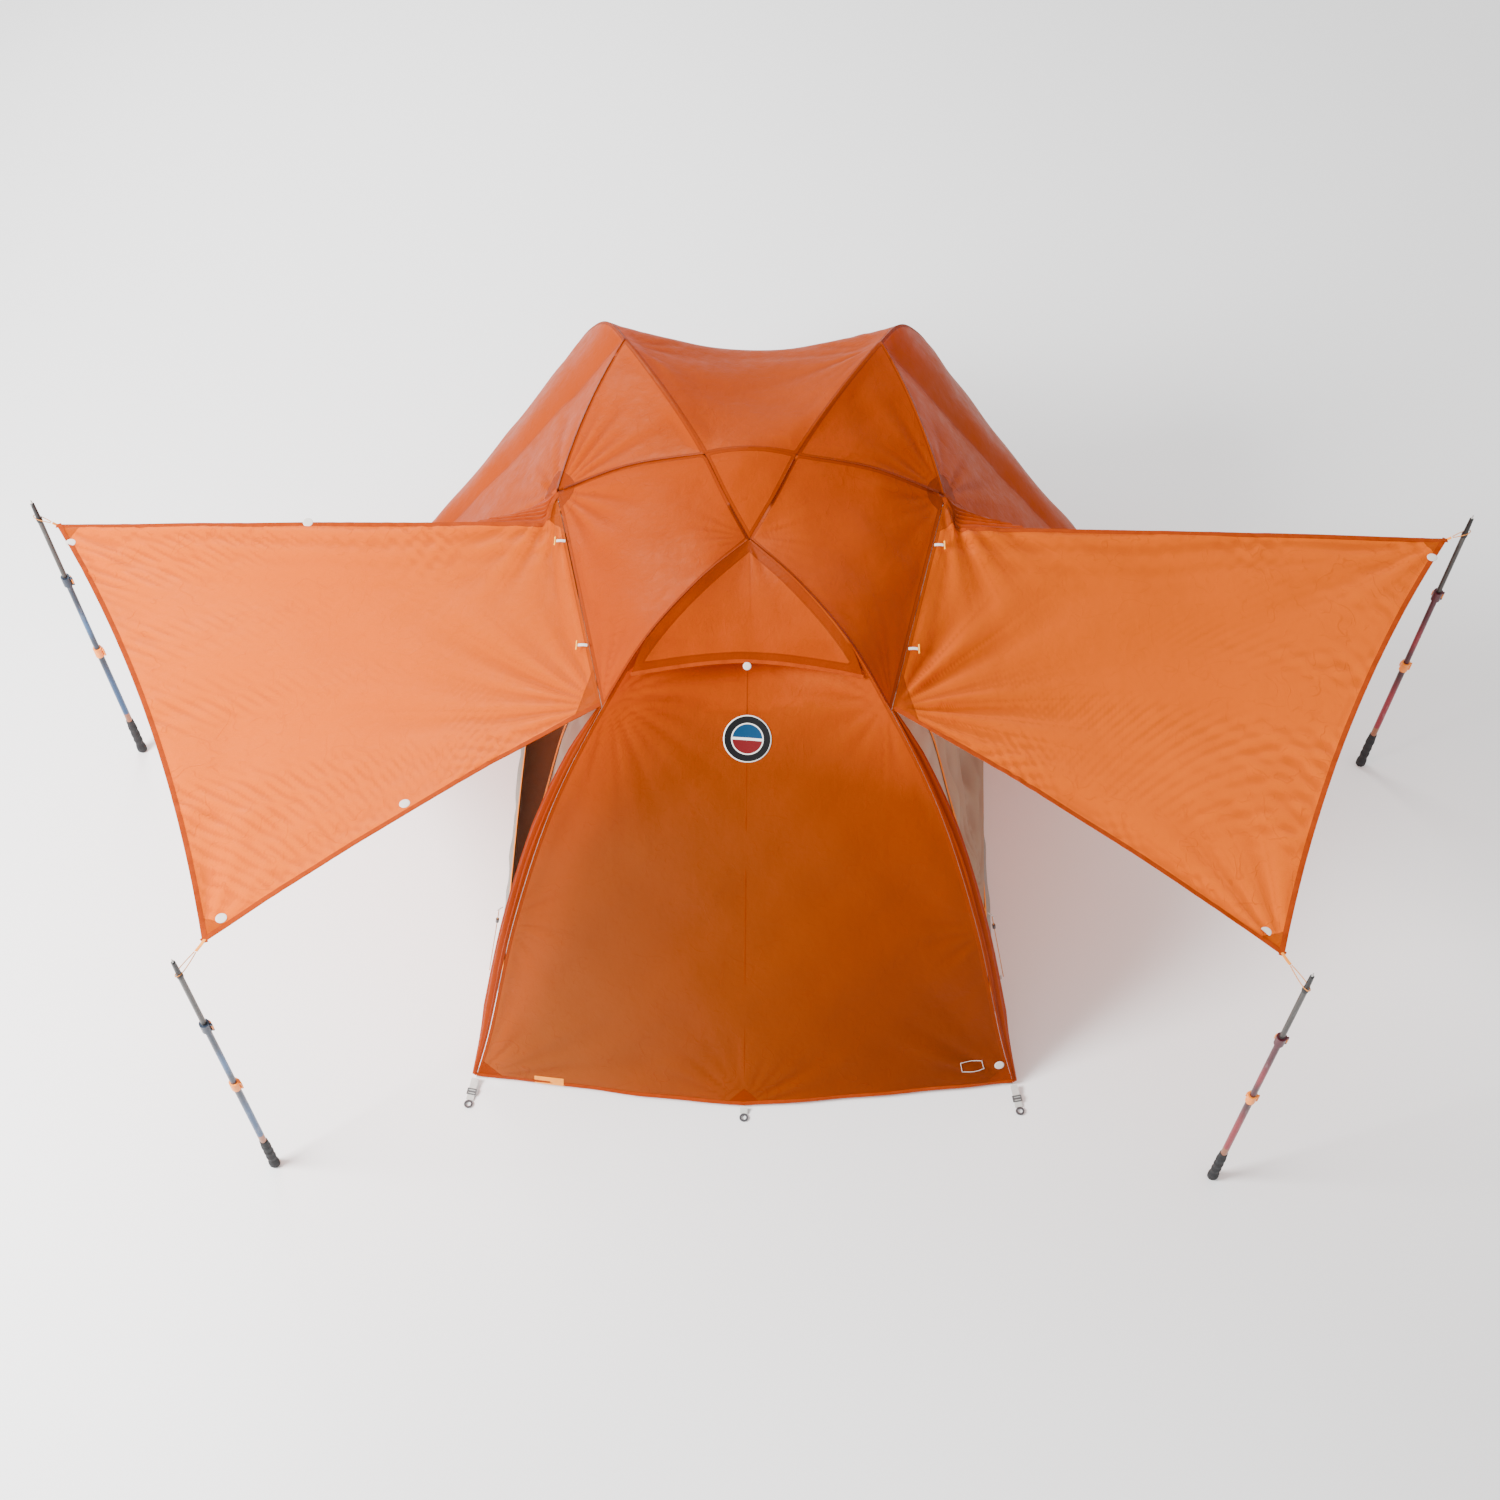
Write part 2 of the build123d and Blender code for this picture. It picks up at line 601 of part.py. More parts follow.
# ---- trekking poles, upside down ----
SOCKET = 40.0               # how deep the upper tube sits in the grip
GRIP_RADIUS = 15.5
posts = {}
for hand, side in (("left", -1), ("right", 1)):
    posts[f"rear_{hand}"] = Vector(side * TREK_REAR[0], TREK_REAR[1], 0)
    posts[f"front_{hand}"] = Vector(side * TREK_FRONT[0], TREK_FRONT[1], 0)


def stick(centre, low, high, radius, bore):
    """Return an upright tube of a trekking pole."""
    with BuildPart() as shaft:
        with BuildSketch(Plane(origin=centre + Vector(0, 0, low))):
            Circle(radius)
            if bore:
                Circle(bore, mode=Mode.SUBTRACT)
        extrude(amount=high - low)
    return shaft.part


def grip(centre):
    """Return an ergonomic grip, butt on the ground, with a socket for the tube."""
    sections = [(0, 0, 11), (5, 0, 16), (28, 1, 18), (60, 4, 13.5), (95, 2, 16), (130, 0, 13),
                (GRIP_TOP, 0, 12.5)]
    with BuildPart() as handle:
        for height, shift, radius in sections:
            with BuildSketch(Plane(origin=centre + Vector(0, -shift, height))):
                Ellipse(radius, radius * 0.86)
        loft()
        with BuildSketch(Plane(origin=centre + Vector(0, 0, GRIP_TOP - SOCKET))):
            Circle(UPPER_RADIUS + 0.05)
        extrude(amount=SOCKET + 1, mode=Mode.SUBTRACT)
    return handle.part


def lock(centre, height, outer, inner):
    """Return a lock collar with its two ears and hinge pin, and the lever that turns on it."""
    step = LOCK_HEIGHT * 0.2
    with BuildPart() as collar:
        with BuildSketch(Plane(origin=centre + Vector(0, 0, height - LOCK_HEIGHT))):
            Circle(LOCK_RADIUS)
            Circle(outer + 0.05, mode=Mode.SUBTRACT)
        extrude(amount=LOCK_HEIGHT)
        with BuildSketch(Plane(origin=centre + Vector(0, 0, height))):
            Circle(LOCK_RADIUS)
            Circle(inner + FIT, mode=Mode.SUBTRACT)
        extrude(amount=4)
        for low in (height - LOCK_HEIGHT, height - step):
            with BuildSketch(Plane(origin=centre + Vector(0, 0, low))):
                with Locations((LEVER_OFFSET - 3, 0)):
                    Rectangle(6, 5)
                with Locations((LEVER_OFFSET, 0)):
                    Circle(2.5)
                Circle(LOCK_RADIUS - 0.5, mode=Mode.SUBTRACT)
            extrude(amount=step)
        with BuildSketch(Plane(origin=centre + Vector(LEVER_OFFSET, 0, height - LOCK_HEIGHT))):
            Circle(1.2)
        extrude(amount=LOCK_HEIGHT)
    with BuildPart() as lever:
        with BuildSketch(Plane(origin=centre + Vector(0, 0, height - LOCK_HEIGHT + step + 0.4))):
            with BuildLine():
                CenterArc((0, 0), LOCK_RADIUS + 0.5, 12, 130)
                CenterArc((0, 0), LOCK_RADIUS + 3.2, 12, 130)
                for angle in (12, 142):
                    Line((polar(LOCK_RADIUS + 0.5, angle)), (polar(LOCK_RADIUS + 3.2, angle)))
            make_face()
            with Locations((LEVER_OFFSET, 0)):
                Circle(2.6)
            with Locations((LEVER_OFFSET - 0.6, 2.4)):
                Rectangle(3.2, 2.6)
            with Locations((LEVER_OFFSET, 0)):
                Circle(1.2 + 0.08, mode=Mode.SUBTRACT)
        extrude(amount=LOCK_HEIGHT - 2 * step - 0.8)
    return collar.part, lever.part


def polar(radius, angle):
    """Return the flat point at a radius and an angle in degrees."""
    return (radius * cos(radians(angle)), radius * sin(radians(angle)))


def tip_holder(centre):
    """Return the black tip holder with its hard tip, on the end of the lower tube."""
    profile = [(0, TIP_BASE), (8.2, TIP_BASE), (8.2, TIP_BASE + 8), (6.4, TIP_BASE + 18),
               (5.4, TREK_LENGTH - 14), (2.6, TREK_LENGTH - 12), (1.6, TREK_LENGTH),
               (0, TREK_LENGTH)]
    with BuildPart() as holder:
        with BuildSketch(Plane.XZ):
            with BuildLine():
                Polyline(*profile, close=True)
            make_face()
        revolve(axis=Axis.Z)
    return holder.part.moved(Location(centre))


grips = []
uppers = []
upper_collars = []
for name, centre in posts.items():
    grips.append(grip(centre))
    uppers.append(stick(centre, GRIP_TOP - SOCKET + 0.5, UPPER_LOCK, UPPER_RADIUS,
                        MIDDLE_RADIUS + FIT))
    collar, lever = lock(centre, UPPER_LOCK, UPPER_RADIUS, MIDDLE_RADIUS)
    upper_collars.append(collar)
    save(lever, f"upper_lever_{name}")
    middle = stick(centre, UPPER_LOCK - TUBE_OVERLAP, LOWER_LOCK, MIDDLE_RADIUS,
                   LOWER_RADIUS + FIT)
    collar, lever = lock(centre, LOWER_LOCK, MIDDLE_RADIUS, LOWER_RADIUS)
    save(lever, f"lower_lever_{name}")
    with BuildPart() as middle_shaft:
        add([middle, collar])
    save(middle_shaft.part, f"middle_shaft_{name}")
    lower = stick(centre, LOWER_LOCK - TUBE_OVERLAP, TIP_BASE - 0.2, LOWER_RADIUS,
                  LOWER_RADIUS - TUBE_WALL)
    with BuildPart() as lower_shaft:
        add([lower, tip_holder(centre)])
    save(lower_shaft.part, f"lower_shaft_{name}")

with BuildPart() as trekking_grips:
    add(grips)
save(trekking_grips.part, "trekking_grips")
with BuildPart() as upper_shafts:
    add(uppers)
save(upper_shafts.part, "upper_shafts")
with BuildPart() as upper_clamps:
    add(upper_collars)
save(upper_clamps.part, "upper_clamps")
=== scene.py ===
import math

import bpy
import numpy as np
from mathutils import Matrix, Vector


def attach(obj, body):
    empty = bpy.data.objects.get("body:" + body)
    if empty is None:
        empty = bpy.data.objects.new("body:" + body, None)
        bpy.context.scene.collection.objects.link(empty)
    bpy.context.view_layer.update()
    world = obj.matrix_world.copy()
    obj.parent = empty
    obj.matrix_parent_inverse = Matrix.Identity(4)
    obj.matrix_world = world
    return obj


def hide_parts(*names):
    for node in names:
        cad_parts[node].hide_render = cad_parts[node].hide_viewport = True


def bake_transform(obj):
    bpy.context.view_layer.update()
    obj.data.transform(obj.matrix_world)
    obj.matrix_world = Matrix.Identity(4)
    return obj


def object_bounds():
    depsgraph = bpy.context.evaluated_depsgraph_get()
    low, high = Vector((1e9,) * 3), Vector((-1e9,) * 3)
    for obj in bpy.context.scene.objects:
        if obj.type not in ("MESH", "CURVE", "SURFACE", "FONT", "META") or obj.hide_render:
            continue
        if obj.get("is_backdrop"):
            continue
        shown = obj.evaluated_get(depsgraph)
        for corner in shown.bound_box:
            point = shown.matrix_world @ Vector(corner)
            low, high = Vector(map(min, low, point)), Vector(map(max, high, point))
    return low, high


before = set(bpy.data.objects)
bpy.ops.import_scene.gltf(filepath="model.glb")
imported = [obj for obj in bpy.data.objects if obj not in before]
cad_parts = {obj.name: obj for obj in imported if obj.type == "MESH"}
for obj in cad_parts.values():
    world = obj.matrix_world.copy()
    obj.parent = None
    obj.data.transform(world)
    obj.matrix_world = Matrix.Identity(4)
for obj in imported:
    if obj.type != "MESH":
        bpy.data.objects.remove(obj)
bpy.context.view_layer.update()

# A two-door backpacking tent with its rainfly on and both doors raised as awnings.
# Metres, in the frame of the CAD model: +Y from foot to head, +X to the right-hand door.
RIGHT, LEFT = 1, -1
HANDS = {LEFT: "left", RIGHT: "right"}
TENT = "tent"


def mm(points):
    """Return points given in millimetres as an array in metres."""
    return np.array(points, float) / 1000.0


# ---- lines of the fly, right half, as in the CAD model ----
HUB = (0, -124, 1135)
FOOT_ARM = [HUB, (127, -296, 1170), (250, -462, 1150), (348, -592, 1060), (480, -773, 879),
            (602, -937, 558), (705, -1080, 150), (747, -1133, 15)]
HEAD_ARM = [HUB, (62, -13, 1172), (122, 118, 1198), (200, 272, 1208), (290, 450, 1192),
            (360, 590, 1165), (415, 700, 1125), (478, 800, 1010), (578, 928, 760),
            (718, 1062, 380), (825, 1145, 15)]
BROW_TOP = (0, 122, 1218)
BROW_MIDDLE = (330, 124, 1142)
BROW_END = (530, 130, 1030)
DOOR_TOP = (362, -606, 1042)
STAKE_SIDE = (1520, 240, 15)
FOOT_CENTRE = [(0, -405, 1066), (0, -540, 992), (0, -695, 825), (0, -872, 531),
               (0, -1122, 150), (0, -1214, 15)]
HEAD_CENTRE = [BROW_TOP, (0, 272, 1190), (0, 450, 1140), (0, 590, 1085), (0, 690, 1035),
               (0, 760, 915), (0, 905, 640), (0, 1085, 300), (0, 1250, 15)]
GUY = ((652, -893, 520), (742, -800, 14))          # a tension cord's two ends
HOOD_SIDE = (290, -552, 1100)
HOOD_CENTRE = [HUB, (0, -285, 1146), (0, -425, 1130), (0, -508, 1103)]
AWNING_REAR = (1858, -33, 1058)
AWNING_FRONT = (1241, -1302, 1057)

# ---- lines of the inner tent, right half ----
FLOOR = [(712, -1086), (712, -40), (788, 1086)]
TUB_HEIGHT, TUB_LEAN = 110, 26
TUB_FOOT = (684, -1058, 111)
TUB_HEAD = (760, 1058, 111)
INNER_HUB = (0, -124, 1062)
INNER_FOOT = [(285, -520, 985), (422, -700, 795), (540, -855, 500), (636, -985, 205), TUB_FOOT]
INNER_FOOT_CENTRE = [INNER_HUB, (0, -480, 950), (0, -630, 770), (0, -790, 480),
                     (0, -950, 195), (0, -1058, 111)]
INNER_BROW = (478, 120, 960)
INNER_SHOULDER = [(365, 640, 1055), (450, 750, 925), (570, 888, 660), (686, 1008, 330),
                  TUB_HEAD]
INNER_HEAD_CENTRE = [(0, 600, 975), (0, 680, 850), (0, 835, 590), (0, 985, 300),
                     (0, 1058, 111)]
DOOR_FOOT_EDGE = [(395, -455, 930), (482, -428, 733), (560, -514, 488), (642, -613, 225),
                  (685, -640, 111)]
DOOR_HEAD_EDGE = [(470, 330, 955), (540, 420, 720), (625, 470, 430), (672, 440, 190),
                  (740, 430, 111)]

TREK = {"rear": (1.900, -0.030), "front": (1.272, -1.397)}


# ---- small geometry helpers ----
def unit(v):
    """Return the vectors at length one."""
    v = np.asarray(v, float)
    return v / np.maximum(np.linalg.norm(v, axis=-1, keepdims=True), 1e-9)


def circle(count):
    """Return that many even angles around a turn."""
    return np.linspace(0, 2 * math.pi, count, endpoint=False)


def flipped(points):
    """Return the points mirrored to the other side of the tent."""
    return np.asarray(points, float) * np.array([-1.0, 1.0, 1.0])


def on(side, points):
    """Return right-hand points on the given side."""
    return np.array(points, float) if side == RIGHT else flipped(points)


CURVE_STEPS = 40            # points drawn between two of a curve's own points


def dense(points):
    """Return a centripetal Catmull-Rom curve through points, and where each point is on it."""
    p, steps = np.asarray(points, float), CURVE_STEPS
    ends = np.vstack([2 * p[0] - p[1], p, 2 * p[-1] - p[-2]])
    rows, marks = [], []
    for i in range(len(p) - 1):
        a, b, c, d = ends[i:i + 4]
        knots = np.cumsum([0] + [max(np.linalg.norm(y - x), 1e-6) ** 0.5
                                 for x, y in ((a, b), (b, c), (c, d))])
        t = np.linspace(knots[1], knots[2], steps, endpoint=False)[:, None]
        k0, k1, k2, k3 = knots
        a1 = a * (k1 - t) / (k1 - k0) + b * (t - k0) / (k1 - k0)
        a2 = b * (k2 - t) / (k2 - k1) + c * (t - k1) / (k2 - k1)
        a3 = c * (k3 - t) / (k3 - k2) + d * (t - k2) / (k3 - k2)
        b1 = a1 * (k2 - t) / (k2 - k0) + a2 * (t - k0) / (k2 - k0)
        b2 = a2 * (k3 - t) / (k3 - k1) + a3 * (t - k1) / (k3 - k1)
        marks.append(len(rows) * steps)
        rows.append(b1 * (k2 - t) / (k2 - k1) + b2 * (t - k1) / (k2 - k1))
    marks.append(len(rows) * steps)
    return np.vstack(rows + [p[-1:]]), marks


def evenly(line, count):
    """Return count + 1 points at even distances along a polyline."""
    length = np.concatenate([[0], np.cumsum(np.linalg.norm(np.diff(line, axis=0), axis=1))])
    at = np.linspace(0, length[-1], count + 1)
    out = np.stack([np.interp(at, length, line[:, k]) for k in range(3)], axis=1)
    out[0], out[-1] = line[0], line[-1]
    return out


def curve(points, stops):
    """Return a smooth curve's spans between the given point numbers, each evenly divided."""
    line, marks = dense(points)
    return [evenly(line[marks[a]:marks[b] + 1], count) for a, b, count in stops]


def smooth(points, count):
    """Return one smooth curve through points as count + 1 even samples."""
    return evenly(dense(points)[0], count)


def joined(*runs):
    """Return runs of points one after another, sharing their end points."""
    return np.vstack([runs[0]] + [run[1:] for run in runs[1:]])


def bulged(a, b, count, depth=(0, 0, 0)):
    """Return a line from a to b that bows by the vector depth at its middle."""
    t = np.linspace(0, 1, count + 1)[:, None]
    return a * (1 - t) + b * t + 4 * t * (1 - t) * np.asarray(depth, float)


def coons(top, bottom, left, right):
    """Fill a grid between four edges: top and bottom run with u, left and right with v."""
    u = np.linspace(0, 1, len(top))[None, :, None]
    v = np.linspace(0, 1, len(left))[:, None, None]
    rows = (1 - v) * top[None] + v * bottom[None]
    columns = (1 - u) * left[:, None] + u * right[:, None]
    corners = ((1 - u) * (1 - v) * top[0] + u * (1 - v) * top[-1]
               + (1 - u) * v * bottom[0] + u * v * bottom[-1])
    return rows + columns - corners


def spanned(side, centre, count, power):
    """Return rows of cloth from the left side line over the centre line to the right one."""
    s = np.linspace(-1, 1, count + 1)[None, :]
    f = np.abs(s) ** np.broadcast_to(np.asarray(power, float), (len(side),))[:, None]
    grid = np.empty((len(side), count + 1, 3))
    grid[..., 0] = s * side[:, None, 0]
    for k in (1, 2):
        grid[..., k] = centre[:, None, k] + (side[:, None, k] - centre[:, None, k]) * f
    return grid


def normals(grid):
    """Return the unit normals of a grid."""
    du = np.gradient(grid, axis=1)
    dv = np.gradient(grid, axis=0)
    return unit(np.cross(du, dv))


def metric(grid):
    """Return each grid point's distances along its row and along its column, in metres."""
    across = np.linalg.norm(np.diff(grid, axis=1), axis=2)
    down = np.linalg.norm(np.diff(grid, axis=0), axis=2)
    u = np.concatenate([np.zeros((grid.shape[0], 1)), np.cumsum(across, axis=1)], axis=1)
    v = np.concatenate([np.zeros((1, grid.shape[1])), np.cumsum(down, axis=0)], axis=0)
    return u - u[:, -1:] / 2, v


def window(grid, reach, edges="tblr"):
    """Return how free the cloth is to move: 0 on the held edges, 1 past reach from them."""
    u, v = metric(grid)
    near = np.full(grid.shape[:2], 1e3)
    for letter, gap in (("l", u - u[:, :1]), ("r", u[:, -1:] - u), ("t", v), ("b", v[-1:] - v)):
        if letter in edges:
            near = np.minimum(near, gap)
    t = np.clip(near / reach, 0, 1)
    return t * t * (3 - 2 * t)


def sag(grid, depth, direction, power):
    """Let a grid hang by depth at its middle, along a direction."""
    rows, columns = grid.shape[:2]
    u = np.linspace(0, 1, columns)[None, :]
    v = np.linspace(0, 1, rows)[:, None]
    bump = (4 * u * (1 - u)) ** power * (4 * v * (1 - v)) ** power
    return grid + depth * bump[..., None] * unit(direction)


def ripples(grid, size, length, seed):
    """Return a smooth random height over a grid, with waves about length long."""
    rng = np.random.default_rng(seed)
    height = np.zeros(grid.shape[:2])
    for _ in range(14):
        k = unit(rng.normal(size=3)) * 2 * math.pi / (length * rng.uniform(0.6, 1.6))
        height += np.sin(grid @ k + rng.uniform(0, 2 * math.pi))
    return size * height / math.sqrt(7)


def folds(grid, spot, size, reach, count, seed):
    """Return folds that run out from a spot on a grid, fading with distance."""
    rng = np.random.default_rng(seed)
    gap = grid - np.asarray(spot, float)
    far = gap.reshape(-1, 3)
    axes = np.linalg.svd((far - far.mean(axis=0))[::7], full_matrices=False)[2]
    a, b = gap @ axes[0], gap @ axes[1]
    distance = np.sqrt(a * a + b * b)
    angle = np.arctan2(b, a)
    wave = np.zeros(grid.shape[:2])
    for k in range(4):
        rate = count * rng.uniform(0.6, 1.7)
        bend = rng.uniform(-1.2, 1.2)
        wave += np.sin(rate * angle + bend * distance / reach + rng.uniform(0, 6.28))
    wave = np.sign(wave) * np.abs(wave / 2) ** 1.2
    fade = np.clip((distance - FOLD_START) / (0.35 * reach), 0, 1) * np.exp(-distance / reach)
    return size * wave * fade


FOLD_START = 0.03           # how far from its spot a fold begins


def crimps(gap, along, size, length, reach, seed):
    """Return small puckers across an edge, which fade with the distance from it."""
    rng = np.random.default_rng(seed)
    wave = np.zeros(gap.shape)
    for _ in range(7):
        pitch = length * rng.uniform(0.6, 2.6)
        lean = rng.uniform(-1.4, 1.4)
        bend = rng.uniform(-3.0, 3.0)
        wave += np.sin(2 * math.pi * (along + lean * gap + bend * gap * gap) / pitch
                       + rng.uniform(0, 6.28))
    patchy = sum(np.sin(along * rate + rng.uniform(0, 6.28)) for rate in (7.0, 13.0, 23.0))
    return (size * wave / 2.6 * np.clip(0.55 + 0.4 * patchy, 0, 1.4)
            * np.exp(-gap / (reach * (1 + 0.25 * patchy))))


def hem_folds(gap, along, size, pitch, reach, seed):
    """Return long soft folds that run beside an edge."""
    rng = np.random.default_rng(seed)
    drift = 0.25 * np.sin(along * 3.0 + rng.uniform(0, 6.28)) + 0.12 * np.sin(along * 8.0)
    return size * np.sin(2 * math.pi * (gap / pitch + drift)) * np.exp(-gap / reach)


def pleats(points, spot, reach, count):
    """Return painted shade and painted highlight of fine pleating that runs out from a spot, seen
    from above.
    """
    gap = points - spot
    angle = np.arctan2(gap[:, 1], gap[:, 0])
    distance = np.linalg.norm(gap, axis=1)
    wave = np.sin(count * angle + 2.0 * np.sin(3 * angle)) + 0.4 * np.sin(1.7 * count * angle)
    return wave * np.exp(-distance / reach) * np.clip(distance / 0.01, 0, 1)


def slack(grid, reach, size, length, seed, edges="tblr", rows=()):
    """Return a grid with ripples, and with folds at each row, that fade to its held edges."""
    height = ripples(grid, size, length, seed)
    for row in rows:
        height = height + folds(grid, *row)
    return grid + (height * window(grid, reach, edges))[..., None] * normals(grid)


def both_sides(*rows):
    """Return rows of folds for both sides of the tent, each with its own seed."""
    return [(on(side, spot), *sizes, seed + side) for side in (LEFT, RIGHT)
            for spot, *sizes, seed in rows]


def near_line(points, line):
    """Return the distance from each point to a polyline."""
    flat = points.reshape(-1, 3)
    best = np.full(len(flat), 1e3)
    for a, b in zip(line[:-1], line[1:]):
        run = b - a
        t = np.clip(((flat - a) @ run) / max(run @ run, 1e-12), 0, 1)
        best = np.minimum(best, np.linalg.norm(flat - a - t[:, None] * run, axis=1))
    return best.reshape(points.shape[:-1])


def painted_fold_shading(grid):
    """Return painted shade and painted highlight for the folds of a grid, from how sharply it
    bends.
    """
    inner = grid[1:-1, 1:-1]
    bend = np.zeros(grid.shape[:2])
    facing = normals(grid)[1:-1, 1:-1]
    facing = facing * np.where(facing[..., 2:] < 0, -1.0, 1.0)
    for before, after in ((grid[1:-1, :-2], grid[1:-1, 2:]), (grid[:-2, 1:-1], grid[2:, 1:-1])):
        gap = before + after - 2 * inner
        span = np.linalg.norm(after - before, axis=-1) / 2
        bend[1:-1, 1:-1] += (gap * facing).sum(axis=-1) / np.maximum(span, 0.004) ** 2
    return np.tanh(bend / CREASE_BEND)


# CREASE_BEND: the bend at which a fold's painted shade or painted highlight shows fully
CREASE_BEND = 16.0          # the bend, in 1/m, at which a fold shows fully


# ---- mesh building ----
def placed(name, data):
    """Return a new object with that data, in the scene."""
    made = bpy.data.objects.new(name, data)
    bpy.context.scene.collection.objects.link(made)
    return made


def store(data, fields):
    """Keep named numbers at the points of a mesh, for the shader."""
    for key, values in fields.items():
        entry = data.attributes.new(key, "FLOAT", "POINT")
        entry.data.foreach_set("value", np.asarray(values, np.float32))


class Cloth:
    """Patches of cloth gathered into one welded mesh."""

    def __init__(self):
        self.index, self.points, self.faces, self.uvs, self.fold_shadings = {}, [], [], [], []

    def add(self, grid, turn=False):
        """Add a grid of points, with its metric coordinates as UVs and the painted shade of its
        folds.
        """
        fold_shading = painted_fold_shading(grid).ravel()
        u, v = metric(grid)
        rows, columns = grid.shape[:2]
        keys = np.rint(grid.reshape(-1, 3) * 2e4).astype(np.int64)
        numbers = []
        for key, point, shade in zip(map(tuple, keys), grid.reshape(-1, 3), fold_shading):
            if key not in self.index:
                self.index[key] = len(self.points)
                self.points.append(point)
                self.fold_shadings.append(shade)
            numbers.append(self.index[key])
        flat = np.stack([u, v], axis=-1).reshape(-1, 2)
        for r in range(rows - 1):
            for c in range(columns - 1):
                corner = [r * columns + c, r * columns + c + 1,
                          (r + 1) * columns + c + 1, (r + 1) * columns + c]
                if turn:
                    corner.reverse()
                used, kept = [], []
                for i in corner:
                    if numbers[i] not in used:
                        used.append(numbers[i])
                        kept.append(i)
                if len(used) > 2:
                    self.faces.append(used)
                    self.uvs += [flat[i] for i in kept]
        return self

    def mesh(self, name, material, fields, body=TENT):
        """Make the object, with named numbers at its points for the shader."""
        data = bpy.data.meshes.new(name)
        data.from_pydata([tuple(p) for p in self.points], [], self.faces)
        layer = data.uv_layers.new(name="cloth")
        layer.data.foreach_set("uv", np.array(self.uvs, np.float32).ravel())
        found = fields(np.array(self.points))
        # painted shade and painted highlight: the folds' shading plus the painted pleating
        found["fold_shading"] = np.array(self.fold_shadings) + found.pop("pleats", 0.0)
        store(data, found)
        data.polygons.foreach_set("use_smooth", [True] * len(data.polygons))
        data.materials.append(material)
        data.update()
        made = placed(name, data)
        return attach(made, body) if body else made


def solid(name, sections, material, body=TENT, closed=False, smooth_faces=True):
    """Make a piece from rings of points, one ring after another."""
    sections = np.asarray(sections, float)
    rings, around = sections.shape[:2]
    faces = []
    for r in range(rings if closed else rings - 1):
        for c in range(around):
            d = (c + 1) % around
            s = (r + 1) % rings
            faces.append((r * around + c, r * around + d, s * around + d, s * around + c))
    if not closed:
        faces.append(tuple(range(around))[::-1])
        faces.append(tuple((rings - 1) * around + c for c in range(around)))
    return mesh_piece(name, sections.reshape(-1, 3), faces, material, body, smooth_faces)


def mesh_piece(name, points, faces, material, body=TENT, smooth_faces=True):
    """Make one mesh object that rides on a body."""
    data = bpy.data.meshes.new(name)
    data.from_pydata([tuple(p) for p in points], [], faces)
    data.materials.append(material)
    data.polygons.foreach_set("use_smooth", [smooth_faces] * len(data.polygons))
    data.update()
    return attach(placed(name, data), body)


def strip_sections(line, inward, width, thick, start=0.0):
    """Return box sections of a flat strip whose edge follows line and whose width goes inward."""
    line, inward = np.asarray(line, float), unit(inward)
    along = unit(np.gradient(line, axis=0))
    up = unit(np.cross(along, inward))
    inner = np.cross(up, along)
    rows = []
    for share, height in ((0, -0.5), (0, 0.5), (0.5, 0.62), (1, 0.5), (1, -0.5), (0.5, -0.62)):
        rows.append(line + inner * (start + share * width) + up * (height * thick))
    return np.stack(rows, axis=1)


def round_sections(line, radius, around):
    """Return round sections along a line, with an even frame."""
    line = np.asarray(line, float)
    along = unit(np.gradient(line, axis=0))
    radius = np.broadcast_to(np.asarray(radius, float), (len(line),))
    guide = np.array([0, 0, 1.0]) if abs(along[0][2]) < 0.9 else np.array([1.0, 0, 0])
    sections = []
    for point, way, r in zip(line, along, radius):
        guide = unit(guide - way * (guide @ way))
        other = np.cross(way, guide)
        angle = circle(around)[:, None]
        sections.append(point + r * (np.cos(angle) * guide + np.sin(angle) * other))
    return np.array(sections)


def disc(name, centre, facing, radius, thick, material, body):
    """Make a thin domed disc."""
    facing = unit(facing)
    side = unit(np.cross(facing, (0, 0, 1.0) if abs(facing[2]) < 0.9 else (0, 1.0, 0)))
    other = np.cross(facing, side)
    angle = circle(40)[:, None]
    ring = np.cos(angle) * side + np.sin(angle) * other
    profile = [(0.985, 0.0), (1.0, 0.35), (0.97, 0.8), (0.90, 1.0), (0.5, 1.12), (0.02, 1.15)]
    sections = [np.asarray(centre) + ring * radius * share + facing * thick * height
                for share, height in profile]
    return solid(name, sections, material, body)


# ---- materials ----
def nodes_of(name):
    """Return a new material with its tree, principled node and output."""
    made = bpy.data.materials.new(name)
    made.use_nodes = True
    tree = made.node_tree
    return made, tree, tree.nodes["Principled BSDF"], tree.nodes["Material Output"]


def math_node(tree, operation, a, b=0.5):
    """Add a math node on sockets or numbers."""
    node = tree.nodes.new("ShaderNodeMath")
    node.operation = operation
    for i, value in enumerate((a, b)):
        if isinstance(value, (int, float)):
            node.inputs[i].default_value = value
        else:
            tree.links.new(value, node.inputs[i])
    return node.outputs[0]


def field(tree, name):
    """Read a number stored at the mesh's points."""
    node = tree.nodes.new("ShaderNodeAttribute")
    node.attribute_name = name
    return node.outputs["Fac"]


def ramp(tree, value, low, high, out_low=0.0, out_high=1.0):
    """Map a number from one range to another, clamped."""
    node = tree.nodes.new("ShaderNodeMapRange")
    node.clamp = True
    tree.links.new(value, node.inputs["Value"])
    for key, number in (("From Min", low), ("From Max", high),
                        ("To Min", out_low), ("To Max", out_high)):
        node.inputs[key].default_value = number
    return node.outputs["Result"]


